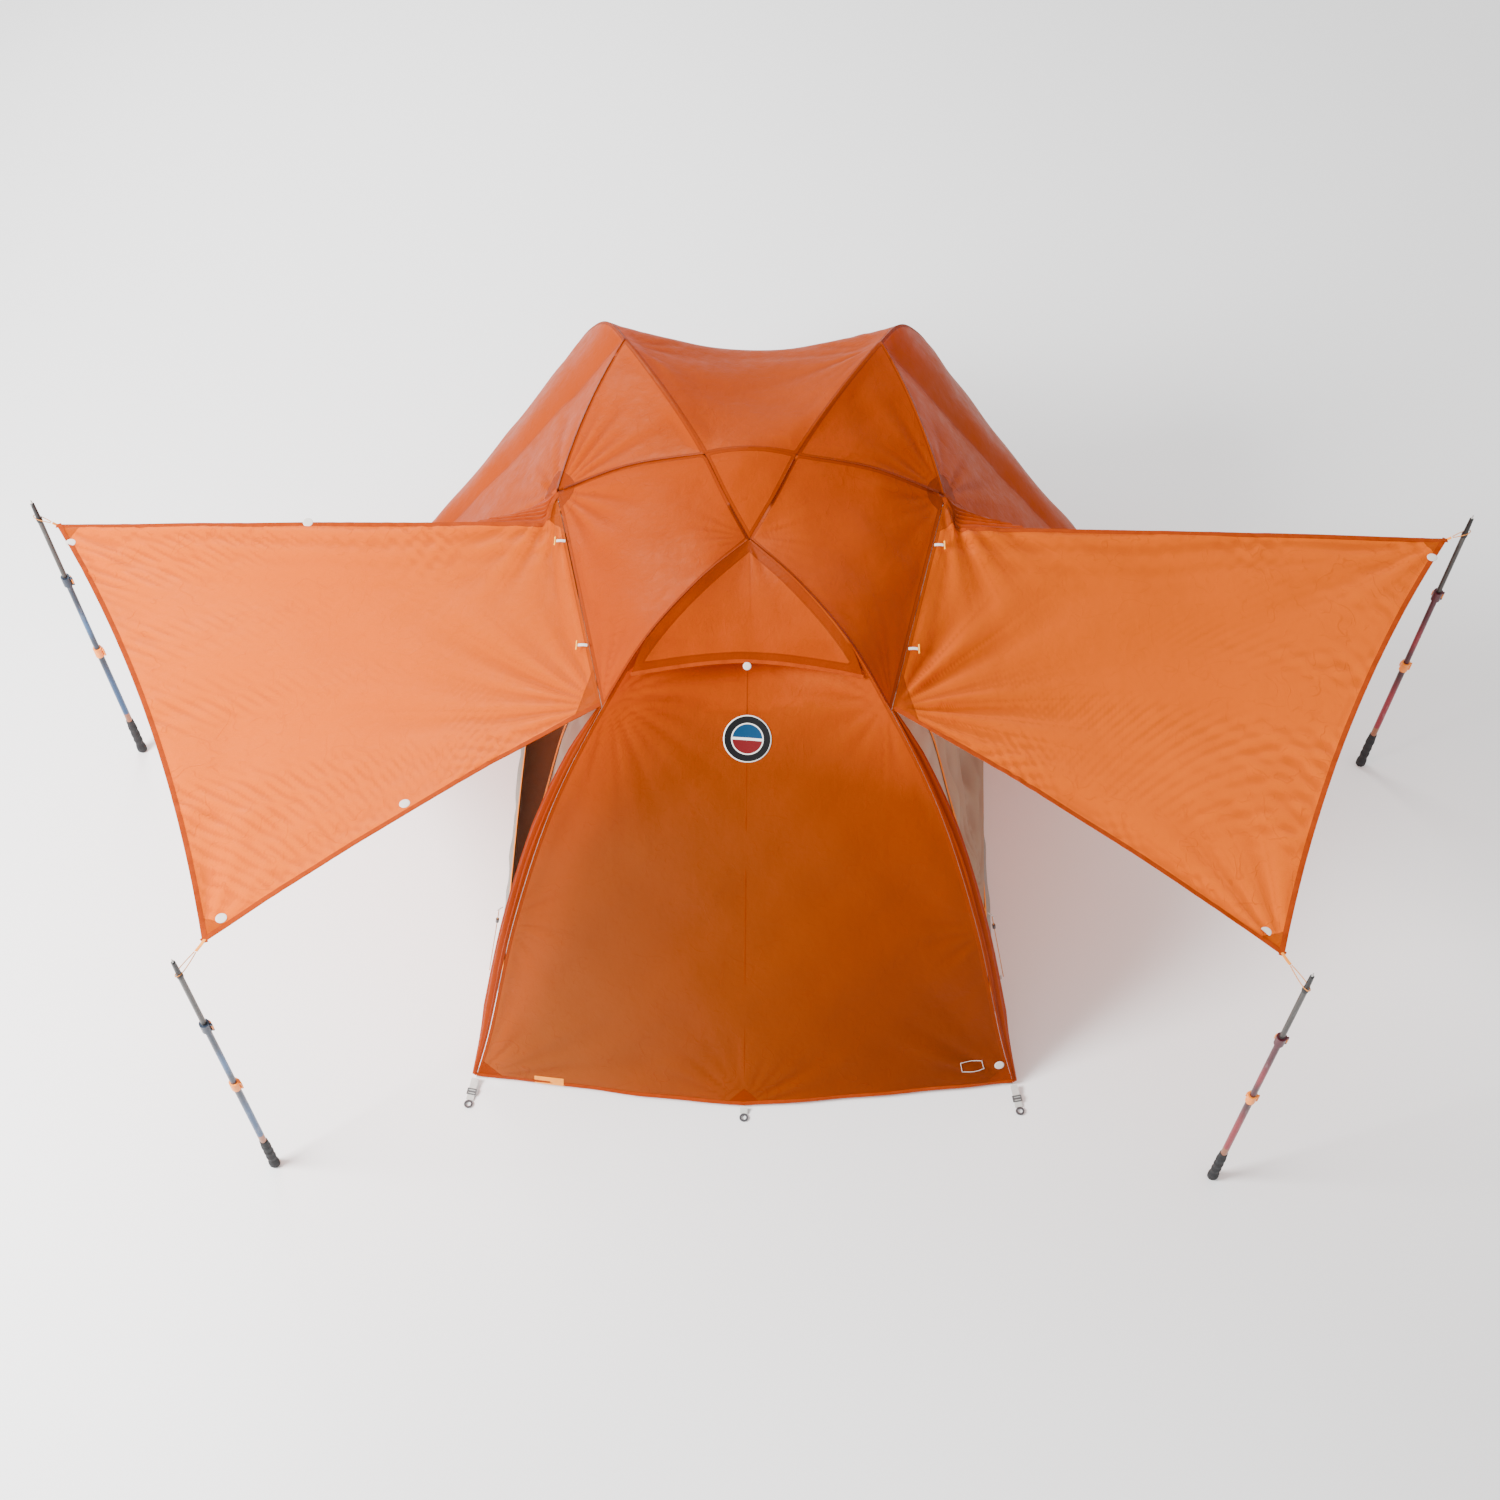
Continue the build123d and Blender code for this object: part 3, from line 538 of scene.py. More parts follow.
def mixed(tree, share, a, b):
    """Mix two colours, given as sockets or as colours."""
    node = tree.nodes.new("ShaderNodeMix")
    node.data_type = "RGBA"
    for key, value in (("Factor", share), ("A", a), ("B", b)):
        socket = [s for s in node.inputs if s.name == key and (
            s.type == ("VALUE" if key == "Factor" else "RGBA"))][0]
        if isinstance(value, (int, float)):
            socket.default_value = value
        elif isinstance(value, tuple):
            socket.default_value = value + (1.0,)
        else:
            tree.links.new(value, socket)
    return [s for s in node.outputs if s.type == "RGBA"][0]


def noise(tree, scale, detail=3.0, stretch=None, rough=0.55):
    """Add a noise texture on object coordinates."""
    source = tree.nodes.new("ShaderNodeTexCoord").outputs["Object"]
    if stretch is not None:
        mapping = tree.nodes.new("ShaderNodeMapping")
        mapping.inputs["Scale"].default_value = stretch
        tree.links.new(source, mapping.inputs["Vector"])
        source = mapping.outputs[0]
    node = tree.nodes.new("ShaderNodeTexNoise")
    node.inputs["Scale"].default_value = scale
    node.inputs["Detail"].default_value = detail
    node.inputs["Roughness"].default_value = rough
    tree.links.new(source, node.inputs["Vector"])
    return node.outputs["Fac"]


def weave(tree, pitch, where="UV"):
    """Return a fine woven height from two crossing waves."""
    place = tree.nodes.new("ShaderNodeTexCoord")
    split = tree.nodes.new("ShaderNodeSeparateXYZ")
    tree.links.new(place.outputs[where], split.inputs[0])
    waves = []
    for axis in ("X", "Y"):
        turn = math_node(tree, "MULTIPLY", split.outputs[axis], 2 * math.pi / pitch)
        waves.append(math_node(tree, "SINE", turn))
    both = math_node(tree, "MULTIPLY", waves[0], waves[1])
    return math_node(tree, "MULTIPLY_ADD", both)


def bump(tree, height, strength, distance, before=None):
    """Add a bump node and return its normal."""
    node = tree.nodes.new("ShaderNodeBump")
    node.inputs["Strength"].default_value = strength
    node.inputs["Distance"].default_value = distance
    tree.links.new(height, node.inputs["Height"])
    if before is not None:
        tree.links.new(before, node.inputs["Normal"])
    return node.outputs["Normal"]


def band(tree, value, low, top, high, end):
    """Return 1 between two levels of a number: it rises from low to top and falls from high."""
    return math_node(tree, "MULTIPLY", ramp(tree, value, low, top),
                     ramp(tree, value, high, end, 1.0, 0.0))


def scaled(colour, *shares):
    """Return a colour with its parts multiplied, by one number or by three."""
    return tuple(min(1.0, c * k) for c, k in zip(colour, shares * (3 // len(shares))))


def dress(tree, shader, colour, rough, normal, **settings):
    """Join a colour, a roughness and a normal to a shader, and set its plain values."""
    for key, socket in (("Base Color", colour), ("Roughness", rough), ("Normal", normal)):
        tree.links.new(socket, shader.inputs[key])
    for key, value in settings.items():
        shader.inputs[key.replace("_", " ")].default_value = value


def creases(tree):
    """Return thin broken crease lines in two directions, painted darker as shade, stronger where
    the crease line amount is high.
    """
    lines = None
    for scale, stretch, width in ((5.0, (1.0, 1.6, 1.0), 0.010), (9.0, (1.7, 0.8, 1.2), 0.014),
                                  (15.0, (1.0, 1.0, 1.6), 0.020)):
        wavy = noise(tree, scale, 1.5, stretch=stretch, rough=0.6)
        level = math_node(tree, "ABSOLUTE", math_node(tree, "SUBTRACT", wavy, 0.5))
        line = ramp(tree, level, 0.0, width, 1.0, 0.0)
        broken = ramp(tree, noise(tree, scale * 1.3, 2.0, stretch=(1.3, 1.0, 0.7)), 0.50, 0.62)
        line = math_node(tree, "MULTIPLY", line, broken)
        lines = line if lines is None else math_node(tree, "MAXIMUM", lines, line)
    return math_node(tree, "MULTIPLY", lines, field(tree, "worn"))


SEAM_WIDTH = 0.009          # half the width of the doubled cloth at a seam


def fabric(name, colour, through, light_share, rough=0.42, patch=True, crinkle=0.45,
           gloss=(1.0, 0.42, 0.10), lined=None, painted_fold_contrast=0.3):
    """Thin coated cloth that passes some light, with darker doubled seams and patches, painted
    shade in its folds and crease lines, and painted highlight on its fold ridges.
    """
    made, tree, shader, out = nodes_of(name)
    fold_shading, lines, distance = field(tree, "fold_shading"), creases(tree), field(tree, "seam")
    # painted shade: darker where the cloth folds inward
    darker = ramp(tree, fold_shading, 0.0, 1.0, 0.0, painted_fold_contrast)
    doubled = ramp(tree, distance, SEAM_WIDTH, SEAM_WIDTH * 1.1, 0.75, 0.0)
    stitch = band(tree, distance, *(SEAM_WIDTH * k for k in (0.72, 0.78, 0.84, 0.9)))
    fold = ramp(tree, distance, 0.0006, 0.0016, 1.0, 0.0)
    # on the fly the patch field also carries the painted pole shadow on the hood
    if patch:
        away = field(tree, "patch")
        doubled = math_node(tree, "MAXIMUM", doubled, ramp(tree, away, -0.0006, 0.0006))
        stitch = math_node(tree, "MAXIMUM", stitch,
                           band(tree, away, 0.0025, 0.0031, 0.0038, 0.0044))
    seam_colour = scaled(colour, 0.66, 0.56, 0.5)
    thread = scaled(seam_colour, 0.62)
    plain = mixed(tree, noise(tree, 2.2, 3.0), scaled(colour, 0.93), scaled(colour, 1.07))
    # painted light: the foot wall's paler colour low on its left
    if lined:
        plain = mixed(tree, field(tree, "lined"), plain, lined)
    # painted shade in the folds, then painted highlight on the fold ridges
    plain = mixed(tree, darker, plain, scaled(colour, 0.55, 0.40, 0.4))
    plain = mixed(tree, ramp(tree, fold_shading, -1.0, 0.0, painted_fold_contrast * 0.7, 0.0), plain,
                  scaled(colour, 1.35, 1.7, 1.5))
    # painted shade: the foot wall darkens towards its right
    if lined:
        plain = mixed(tree, field(tree, "dim"), plain, scaled(colour, 0.35))
    # painted shade: the crease lines darken the colour
    plain = mixed(tree, math_node(tree, "MULTIPLY", lines, 0.40), plain,
                  scaled(colour, 0.62, 0.48, 0.5))
    whole = mixed(tree, doubled, plain, seam_colour)
    whole = mixed(tree, math_node(tree, "MULTIPLY", stitch, 0.55), whole, thread)
    whole = mixed(tree, math_node(tree, "MULTIPLY", fold, 0.6), whole, thread)
    soft = bump(tree, noise(tree, 11.0, 5.0, (1.0, 1.0, 0.8), 0.6), crinkle, 0.010)
    soft = bump(tree, noise(tree, 42.0, 3.0, rough=0.5), crinkle * 0.5, 0.0022, soft)
    soft = bump(tree, lines, 0.55, 0.0012, soft)
    ridge = bump(tree, doubled, 0.5, 0.0007, soft)
    stitched = bump(tree, stitch, 0.4, 0.0006, ridge)
    normal = bump(tree, weave(tree, 0.0022), 0.10, 0.0002, stitched)
    dress(tree, shader, whole,
          ramp(tree, noise(tree, 34.0, 4.0), 0.3, 0.7, rough - 0.06, rough + 0.1), normal,
          Sheen_Weight=0.02, Sheen_Roughness=0.4, Specular_IOR_Level=0.19,
          Specular_Tint=gloss + (1.0,))
    # the painted shade of the folds and crease lines also darkens the light passing through
    glow = mixed(tree, darker, through, scaled(through, 0.5, 0.4, 0.4))
    glow = mixed(tree, math_node(tree, "MULTIPLY", lines, 0.35), glow,
                 scaled(through, 0.6, 0.5, 0.5))
    # the painted shade of the foot wall also darkens the light passing through
    if lined:
        glow = mixed(tree, field(tree, "dim"), glow, scaled(through, 0.3))
    glow = mixed(tree, doubled, glow, scaled(through, 0.5))
    passing = tree.nodes.new("ShaderNodeBsdfTranslucent")
    tree.links.new(glow, passing.inputs["Color"])
    tree.links.new(normal, passing.inputs["Normal"])
    both = tree.nodes.new("ShaderNodeMixShader")
    both.inputs[0].default_value = light_share
    tree.links.new(shader.outputs[0], both.inputs[1])
    tree.links.new(passing.outputs[0], both.inputs[2])
    tree.links.new(both.outputs[0], out.inputs["Surface"])
    return made


def webbing(name, colour, second, pitch=0.0016, sheen=0.03, gloss=(1.0, 1.0, 1.0)):
    """Woven strap or tape, with ribs across it."""
    made, tree, shader, _ = nodes_of(name)
    dirt = noise(tree, 60.0, 4.0)
    dress(tree, shader, mixed(tree, ramp(tree, dirt, 0.25, 0.75), colour, second),
          ramp(tree, dirt, 0.2, 0.8, 0.52, 0.70),
          bump(tree, weave(tree, pitch, "Object"), 0.5, 0.0004),
          Sheen_Weight=sheen, Specular_IOR_Level=0.10, Specular_Tint=gloss + (1.0,))
    return made


def moulded(name, colour, rough, grain, second=None, metal=0.0, strength=0.15):
    """Moulded plastic, foam or metal with a fine grain."""
    made, tree, shader, _ = nodes_of(name)
    second = second or tuple(min(1.0, c * 1.25 + 0.004) for c in colour)
    dress(tree, shader,
          mixed(tree, ramp(tree, noise(tree, grain / 12, 4.0), 0.3, 0.7), colour, second),
          ramp(tree, noise(tree, grain / 5, 3.0), 0.2, 0.8, rough - 0.07, rough + 0.09),
          bump(tree, noise(tree, grain, 2.0), strength, 0.0004),
          Metallic=metal, Specular_IOR_Level=0.35)
    return made


# one orange cloth in lit and shaded copies: the awning's lighter colour is painted light, the
# fly's darker colour is painted shade, the flap's darkest colour is painted shade of its gathered
# folds; the fly's third colour is the painted light low on the foot wall's left
FLY = fabric("fly_cloth_painted_shade", (0.40, 0.058, 0.002), (0.72, 0.094, 0.002), 0.42,
             lined=(0.37, 0.100, 0.022))
AWNING = fabric("awning_cloth_painted_light", (0.54, 0.090, 0.001), (0.97, 0.165, 0.001), 0.50,
                painted_fold_contrast=0.34)
TAPE = webbing("edge_tape_cloth", (0.24, 0.028, 0.002), (0.31, 0.040, 0.003), sheen=0.0,
               gloss=(1.0, 0.40, 0.10))
FLAP = fabric("storm_flap_cloth_painted_shade", (0.30, 0.034, 0.002), (0.45, 0.050, 0.002), 0.25, patch=False)
INNER = fabric("inner_cloth", (0.42, 0.36, 0.29), (0.60, 0.46, 0.32), 0.35, rough=0.6,
               patch=False, crinkle=0.3, gloss=(1.0, 1.0, 1.0))
DOOR = fabric("inner_door_cloth", (0.38, 0.29, 0.21), (0.58, 0.38, 0.24), 0.35, rough=0.6,
              patch=False, crinkle=0.3, gloss=(1.0, 1.0, 1.0))
TUB = fabric("floor_cloth", (0.26, 0.245, 0.22), (0.30, 0.27, 0.22), 0.12, rough=0.5,
             patch=False, crinkle=0.3, gloss=(1.0, 1.0, 1.0))
GREY_WEBBING = webbing("grey_webbing", (0.50, 0.50, 0.47), (0.62, 0.62, 0.58))
ORANGE_TAPE = webbing("orange_tape", (0.80, 0.25, 0.02), (0.90, 0.32, 0.04))
ORANGE_CORD = webbing("orange_cord_weave", (0.72, 0.27, 0.05), (0.55, 0.20, 0.05), 0.0012)
ZIP_TAPE = webbing("zip_coil", (0.62, 0.20, 0.03), (0.74, 0.27, 0.05), 0.003)


def painted(name, left, right=None):
    """Painted tube whose colour changes with height, and may differ on the right-hand poles."""
    made, tree, shader, _ = nodes_of(name)
    split = tree.nodes.new("ShaderNodeSeparateXYZ")
    tree.links.new(tree.nodes.new("ShaderNodeTexCoord").outputs["Object"], split.inputs[0])
    height = split.outputs["Z"]

    def column(rows):
        """Mix the colours of a list of (height, colour, length of the change) rows."""
        colour = rows[0][1]
        for start, following, length in rows[1:]:
            colour = mixed(tree, ramp(tree, height, start, start + length), colour, following)
        return colour

    colour = column(left)
    if right:
        colour = mixed(tree, ramp(tree, split.outputs["X"], -0.01, 0.01), colour, column(right))
    scuff = ramp(tree, noise(tree, 90.0, 4.0, stretch=(1, 1, 0.15)), 0.62, 0.72, 0.0, 0.25)
    dress(tree, shader, mixed(tree, scuff, colour, (0.30, 0.30, 0.30)),
          ramp(tree, noise(tree, 120.0, 3.0), 0.2, 0.8, 0.28, 0.44),
          bump(tree, noise(tree, 500.0, 2.0), 0.08, 0.0003), Metallic=0.35)
    return made


SHARP = 0.0015
LOWER_PAINT = painted("lower_tube_paint", [
    (0, (0.040, 0.036, 0.032), 0), (0.86, (0.055, 0.050, 0.045), 0.20),
    (1.066, (0.010, 0.010, 0.010), SHARP), (1.138, (0.45, 0.44, 0.42), SHARP)])
MIDDLE_PAINT = painted("middle_tube_paint", [
    (0, (0.020, 0.032, 0.055), 0), (0.56, (0.030, 0.090, 0.200), 0.05),
    (0.64, (0.018, 0.028, 0.048), 0.08)],
    right=[(0, (0.060, 0.010, 0.016), 0), (0.56, (0.200, 0.014, 0.026), 0.05),
           (0.64, (0.070, 0.010, 0.018), 0.08)])
UPPER_PAINT = painted("upper_tube_paint", [
    (0, (0.250, 0.085, 0.035), 0), (0.200, (0.012, 0.050, 0.130), SHARP),
    (0.36, (0.012, 0.020, 0.036), 0.10)],
    right=[(0, (0.250, 0.085, 0.035), 0), (0.200, (0.230, 0.010, 0.022), SHARP),
           (0.36, (0.050, 0.010, 0.014), 0.10)])
PALE = moulded("pale_disc", (0.55, 0.50, 0.46), 0.5, 400, (0.66, 0.62, 0.58))
ELASTIC = webbing("white_elastic", (0.72, 0.72, 0.70), (0.60, 0.60, 0.58), 0.0012)
YELLOW_PLASTIC = moulded("yellow_orange_plastic", (0.86, 0.36, 0.02), 0.4, 500)
BLACK_PLASTIC = moulded("black_plastic", (0.012, 0.012, 0.013), 0.42, 700)
RING_PLASTIC = moulded("stake_ring_plastic", (0.05, 0.05, 0.055), 0.4, 700)
BUCKLE = moulded("buckle_plastic", (0.07, 0.07, 0.072), 0.45, 700)
FOAM = moulded("grip_foam_texture", (0.010, 0.010, 0.011), 0.8, 900, (0.022, 0.022, 0.024),
               strength=0.5)
ALLOY = moulded("pole_alloy_anodised", (0.30, 0.31, 0.33), 0.3, 300, (0.36, 0.37, 0.39), 0.9)
STEEL = moulded("tip_steel", (0.55, 0.54, 0.52), 0.3, 300, (0.62, 0.61, 0.58), 1.0)
LOCK = moulded("lock_orange_plastic", (0.80, 0.22, 0.015), 0.4, 600)


# ---- fly ----
N_ARM, N_TOP, N_HEAD, N_SPAN, N_FOOT, N_WALL = 54, 60, 110, 110, 100, 110
head_a, head_b, head_c = curve(mm(HEAD_ARM), [(0, 2, N_TOP), (2, 5, N_ARM), (5, 10, N_HEAD)])
foot_a, foot_b, foot_c = curve(mm(FOOT_ARM), [(0, 2, 36), (2, 3, 14), (3, 7, N_FOOT)])
brow_line = mm([(-122, 118, 1198), BROW_TOP, (122, 118, 1198), BROW_MIDDLE, BROW_END])
brow_side, = curve(brow_line, [(2, 4, N_ARM)])
door_top, brow_end = mm(DOOR_TOP), mm(BROW_END)
door_seam = bulged(door_top, brow_end, N_TOP)
arm_to_door = joined(foot_a, foot_b, bulged(foot_b[-1], door_top, 4))
shoulder_seam = bulged(head_b[-1], brow_end, 40, (0.012, 0.006, 0.014))
stake = mm(STAKE_SIDE)
door_edge = bulged(brow_end, stake, 100, (-0.02, -0.002, -0.020))
side_hem = bulged(head_c[-1], stake, 100, (-0.01, -0.020, 0.004))

fly = Cloth()
head_side = joined(head_b, head_c)
head_centre = joined(*curve(mm(HEAD_CENTRE), [(0, 3, N_ARM), (3, 8, N_HEAD)]))
powers = np.concatenate([np.full(N_ARM + 1, 2.0), np.linspace(2.0, 1.25, N_HEAD)])
back = spanned(head_side, head_centre, N_SPAN, powers)
top_centre = bulged(mm(HUB), mm(BROW_TOP), N_TOP, (0, 0, 0.004))
top = spanned(head_a, top_centre, N_SPAN, 2.0)
hood_side = joined(foot_a, bulged(foot_a[-1], mm(HOOD_SIDE), 8, (0.004, 0, 0)))
hood_centre = smooth(mm(HOOD_CENTRE), len(hood_side) - 1)
hood = spanned(hood_side, hood_centre, 60, np.linspace(2.0, 1.6, len(hood_side)))
wall_side = joined(foot_b, foot_c)
wall_centre = smooth(mm(FOOT_CENTRE), len(wall_side) - 1)
wall = spanned(wall_side, wall_centre, N_WALL, np.linspace(1.9, 1.12, len(wall_side)))

foot_corner, head_corner = foot_c[-1], head_c[-1]
back = slack(back, 0.06, 0.0022, 0.26, 3, "lrt", both_sides(
    (head_corner, 0.004, 0.30, 12, 21), (head_b[-1], 0.002, 0.22, 14, 31))
    + [(mm(HEAD_CENTRE[-1]), 0.003, 0.25, 14, 41)])
fly.add(back)
fly.add(slack(top, 0.03, 0.0006, 0.10, 5))
hood = slack(hood, 0.04, 0.0010, 0.12, 7, "lr", [(mm(HUB), 0.0015, 0.12, 14, 8)])
fly.add(hood, turn=True)
wall = slack(wall, 0.05, 0.0022, 0.24, 9, "lrt", both_sides(
    (foot_corner, 0.005, 0.20, 14, 51), (foot_b[-1], 0.0022, 0.22, 14, 61),
    (mm(GUY[0]), 0.0030, 0.10, 11, 71)) + [(mm(FOOT_CENTRE[-1]), 0.0035, 0.13, 16, 81)])
fly.add(wall, turn=True)

for side in (LEFT, RIGHT):
    front = coons(arm_to_door,
                  smooth(brow_side, len(arm_to_door) - 1), head_a, door_seam)
    front = sag(front, -0.030, (-0.2, 0.1, 1.0), 0.8)
    rear = coons(head_b, brow_side, np.repeat(head_b[:1], 41, axis=0), shoulder_seam)
    rear = sag(rear, -0.014, (0.3, 0.0, 1.0), 0.8)
    top_row = joined(shoulder_seam[::-1], head_c)
    porch = coons(top_row, np.repeat(stake[None], len(top_row), axis=0), door_edge, side_hem)
    porch = sag(porch, -0.012, (0.75, 0.15, 0.65), 0.8)
    for grid, held, turn, tune, rows in (
            (front, "lrtb", False, 1, [(door_top, 0.003, 0.12, 16, 95 + side),
                                       (mm(HUB), 0.0008, 0.10, 14, 97 + side)]),
            (rear, "lrtb", False, 2, []),
            (porch, "t", True, 3, [(stake, 0.005, 0.40, 14, 98 + side),
                                   (head_corner, 0.004, 0.25, 14, 99 + side)])):
        rows.insert(0, (brow_end, 0.0055, 0.14, 15, 90 * tune + side))
        grid = slack(grid, 0.05, 0.0020, 0.22, 10 * tune + side, held, rows)
        fly.add(on(side, grid), turn=turn == (side == LEFT))

seam_lines = [on(side, line) for side in (LEFT, RIGHT) for line in (
    head_a, head_b, head_c, foot_a, foot_b, foot_c, brow_side, door_seam, shoulder_seam)]
seam_lines.append(top[-1])
HOOD_SHADOW_BAND = 0.030


def fly_fields(points):
    """Return the distance to the seams and the reinforcement patches, with a painted pole shadow
    on the hood, the foot wall's painted light and shade, the crease line amount and the painted
    pleat shading, for the shader.
    """
    seam = np.min([near_line(points, line[::2] if len(line) > 30 else line)
                   for line in seam_lines], axis=0)
    seam = np.minimum(seam, near_line(points, wall_centre[::3]) + 0.0072)
    patch = np.full(len(points), -1.0)
    corners = [(on(s, spot), size) for s in (LEFT, RIGHT) for spot, size in (
        (brow_end, 0.085), (foot_corner, 0.085), (head_corner, 0.085), (stake, 0.12))]
    for spot, size in corners + [(mm(FOOT_CENTRE[-1]), 0.060), (mm(HEAD_CENTRE[-1]), 0.060)]:
        gap = np.abs(points - spot)
        away = gap[:, 0] * (1.0 if spot[0] else 1.1) + np.hypot(gap[:, 1], gap[:, 2]) * 1.15
        patch = np.maximum(patch, size - away)
    arm = joined(foot_a, foot_b)
    inside = np.abs(points[:, 0]) < np.interp(-points[:, 1], -arm[:, 1], arm[:, 0]) - 0.001
    inside &= (points[:, 1] < HUB[1] / 1000.0) & (points[:, 1] > HOOD_SIDE[1] / 1000.0 - 0.02)
    inside &= (points[:, 2] > HOOD_SIDE[2] / 1000.0 - 0.0015)
    # painted shadow: a dark band along the arms and the hood's lip, stored with the patches,
    # stands in for the poles' shadows seen through the cloth
    band = HOOD_SHADOW_BAND - np.min([near_line(points, arm), near_line(points, flipped(arm)),
                               near_line(points, hood[-1][::4])], axis=0)
    patch = np.where(inside, np.maximum(patch, band), patch)
    # painted light and shade: the foot wall is painted paler low on its left and painted darker
    # towards its right
    wall_start = FOOT_CENTRE[1][1] / 1000.0
    lined = np.where(points[:, 1] < wall_start - 0.03,
                     np.clip((1.00 - points[:, 2]) / 0.30, 0.0, 1.0), 0.0)
    lined *= np.clip(0.45 - points[:, 0] / 0.9, 0.0, 1.0)
    # how strongly the painted crease shade shows: more low on the wall and near the brow ends
    worn = np.full(len(points), 0.35) + 0.5 * np.clip(1 - points[:, 2] / 0.20, 0, 1)
    for s in (LEFT, RIGHT):
        worn += np.exp(-np.linalg.norm(points - on(s, brow_end), axis=1) / 0.12)
    # painted shade: darker towards the wall's right
    wall_share = np.where(points[:, 1] < wall_start - 0.02,
                          np.clip((1.06 - points[:, 2]) / 0.20, 0.0, 1.0), 0.0)
    dim = wall_share * (0.22 + 0.52 * np.clip(0.5 + points[:, 0] / 1.1, 0.0, 1.0))
    # painted shade and painted highlight of pleating at the fly's corners, which the mesh does
    # not have
    pleat_shading = sum(pleats(points, on(s, spot), reach, count) for s in (LEFT, RIGHT)
                  for spot, reach, count in ((brow_end, 0.040, 24), (door_top, 0.040, 18),
                                             (foot_corner, 0.035, 16), (head_corner, 0.035, 16)))
    return {"seam": seam, "patch": patch, "lined": lined, "dim": dim,
            "worn": np.minimum(worn, 1.0), "pleats": pleat_shading}


fly_obj = fly.mesh("fly", FLY, fly_fields)
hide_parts("fly_top", "fly_roof_centre", "fly_roof_left", "fly_roof_right",
            "fly_foot_wall", "fly_head_wall", "vestibule_left", "vestibule_right", "vent_hood")

# ---- bindings along the fly's free edges ----
HEM_WIDTH, HEM_THICK, HEM_START = 0.012, 0.0016, -0.0008


def binding(name, edge, inner, width=HEM_WIDTH, body=TENT, material=TAPE):
    """Make a folded tape along a free edge; inner is the next row of the cloth."""
    sections = strip_sections(edge, inner - edge, width, HEM_THICK, HEM_START)
    made = solid(name, sections, material, body, smooth_faces=False)
    return made


fly_trim = [binding("hem_foot", wall[-1], wall[-2]), binding("hem_head", back[-1], back[-2]),
            binding("hem_hood", hood[-1], hood[-2], 0.010)]
for side, hand in HANDS.items():
    for name, line, inward in (("door", door_edge, (0.2, 1.0, 0.0)),
                               ("side", side_hem, (0, -0.2, 1.0))):
        line = on(side, line)
        fly_trim.append(binding(f"hem_{name}_{hand}", line, line + on(side, [inward])))

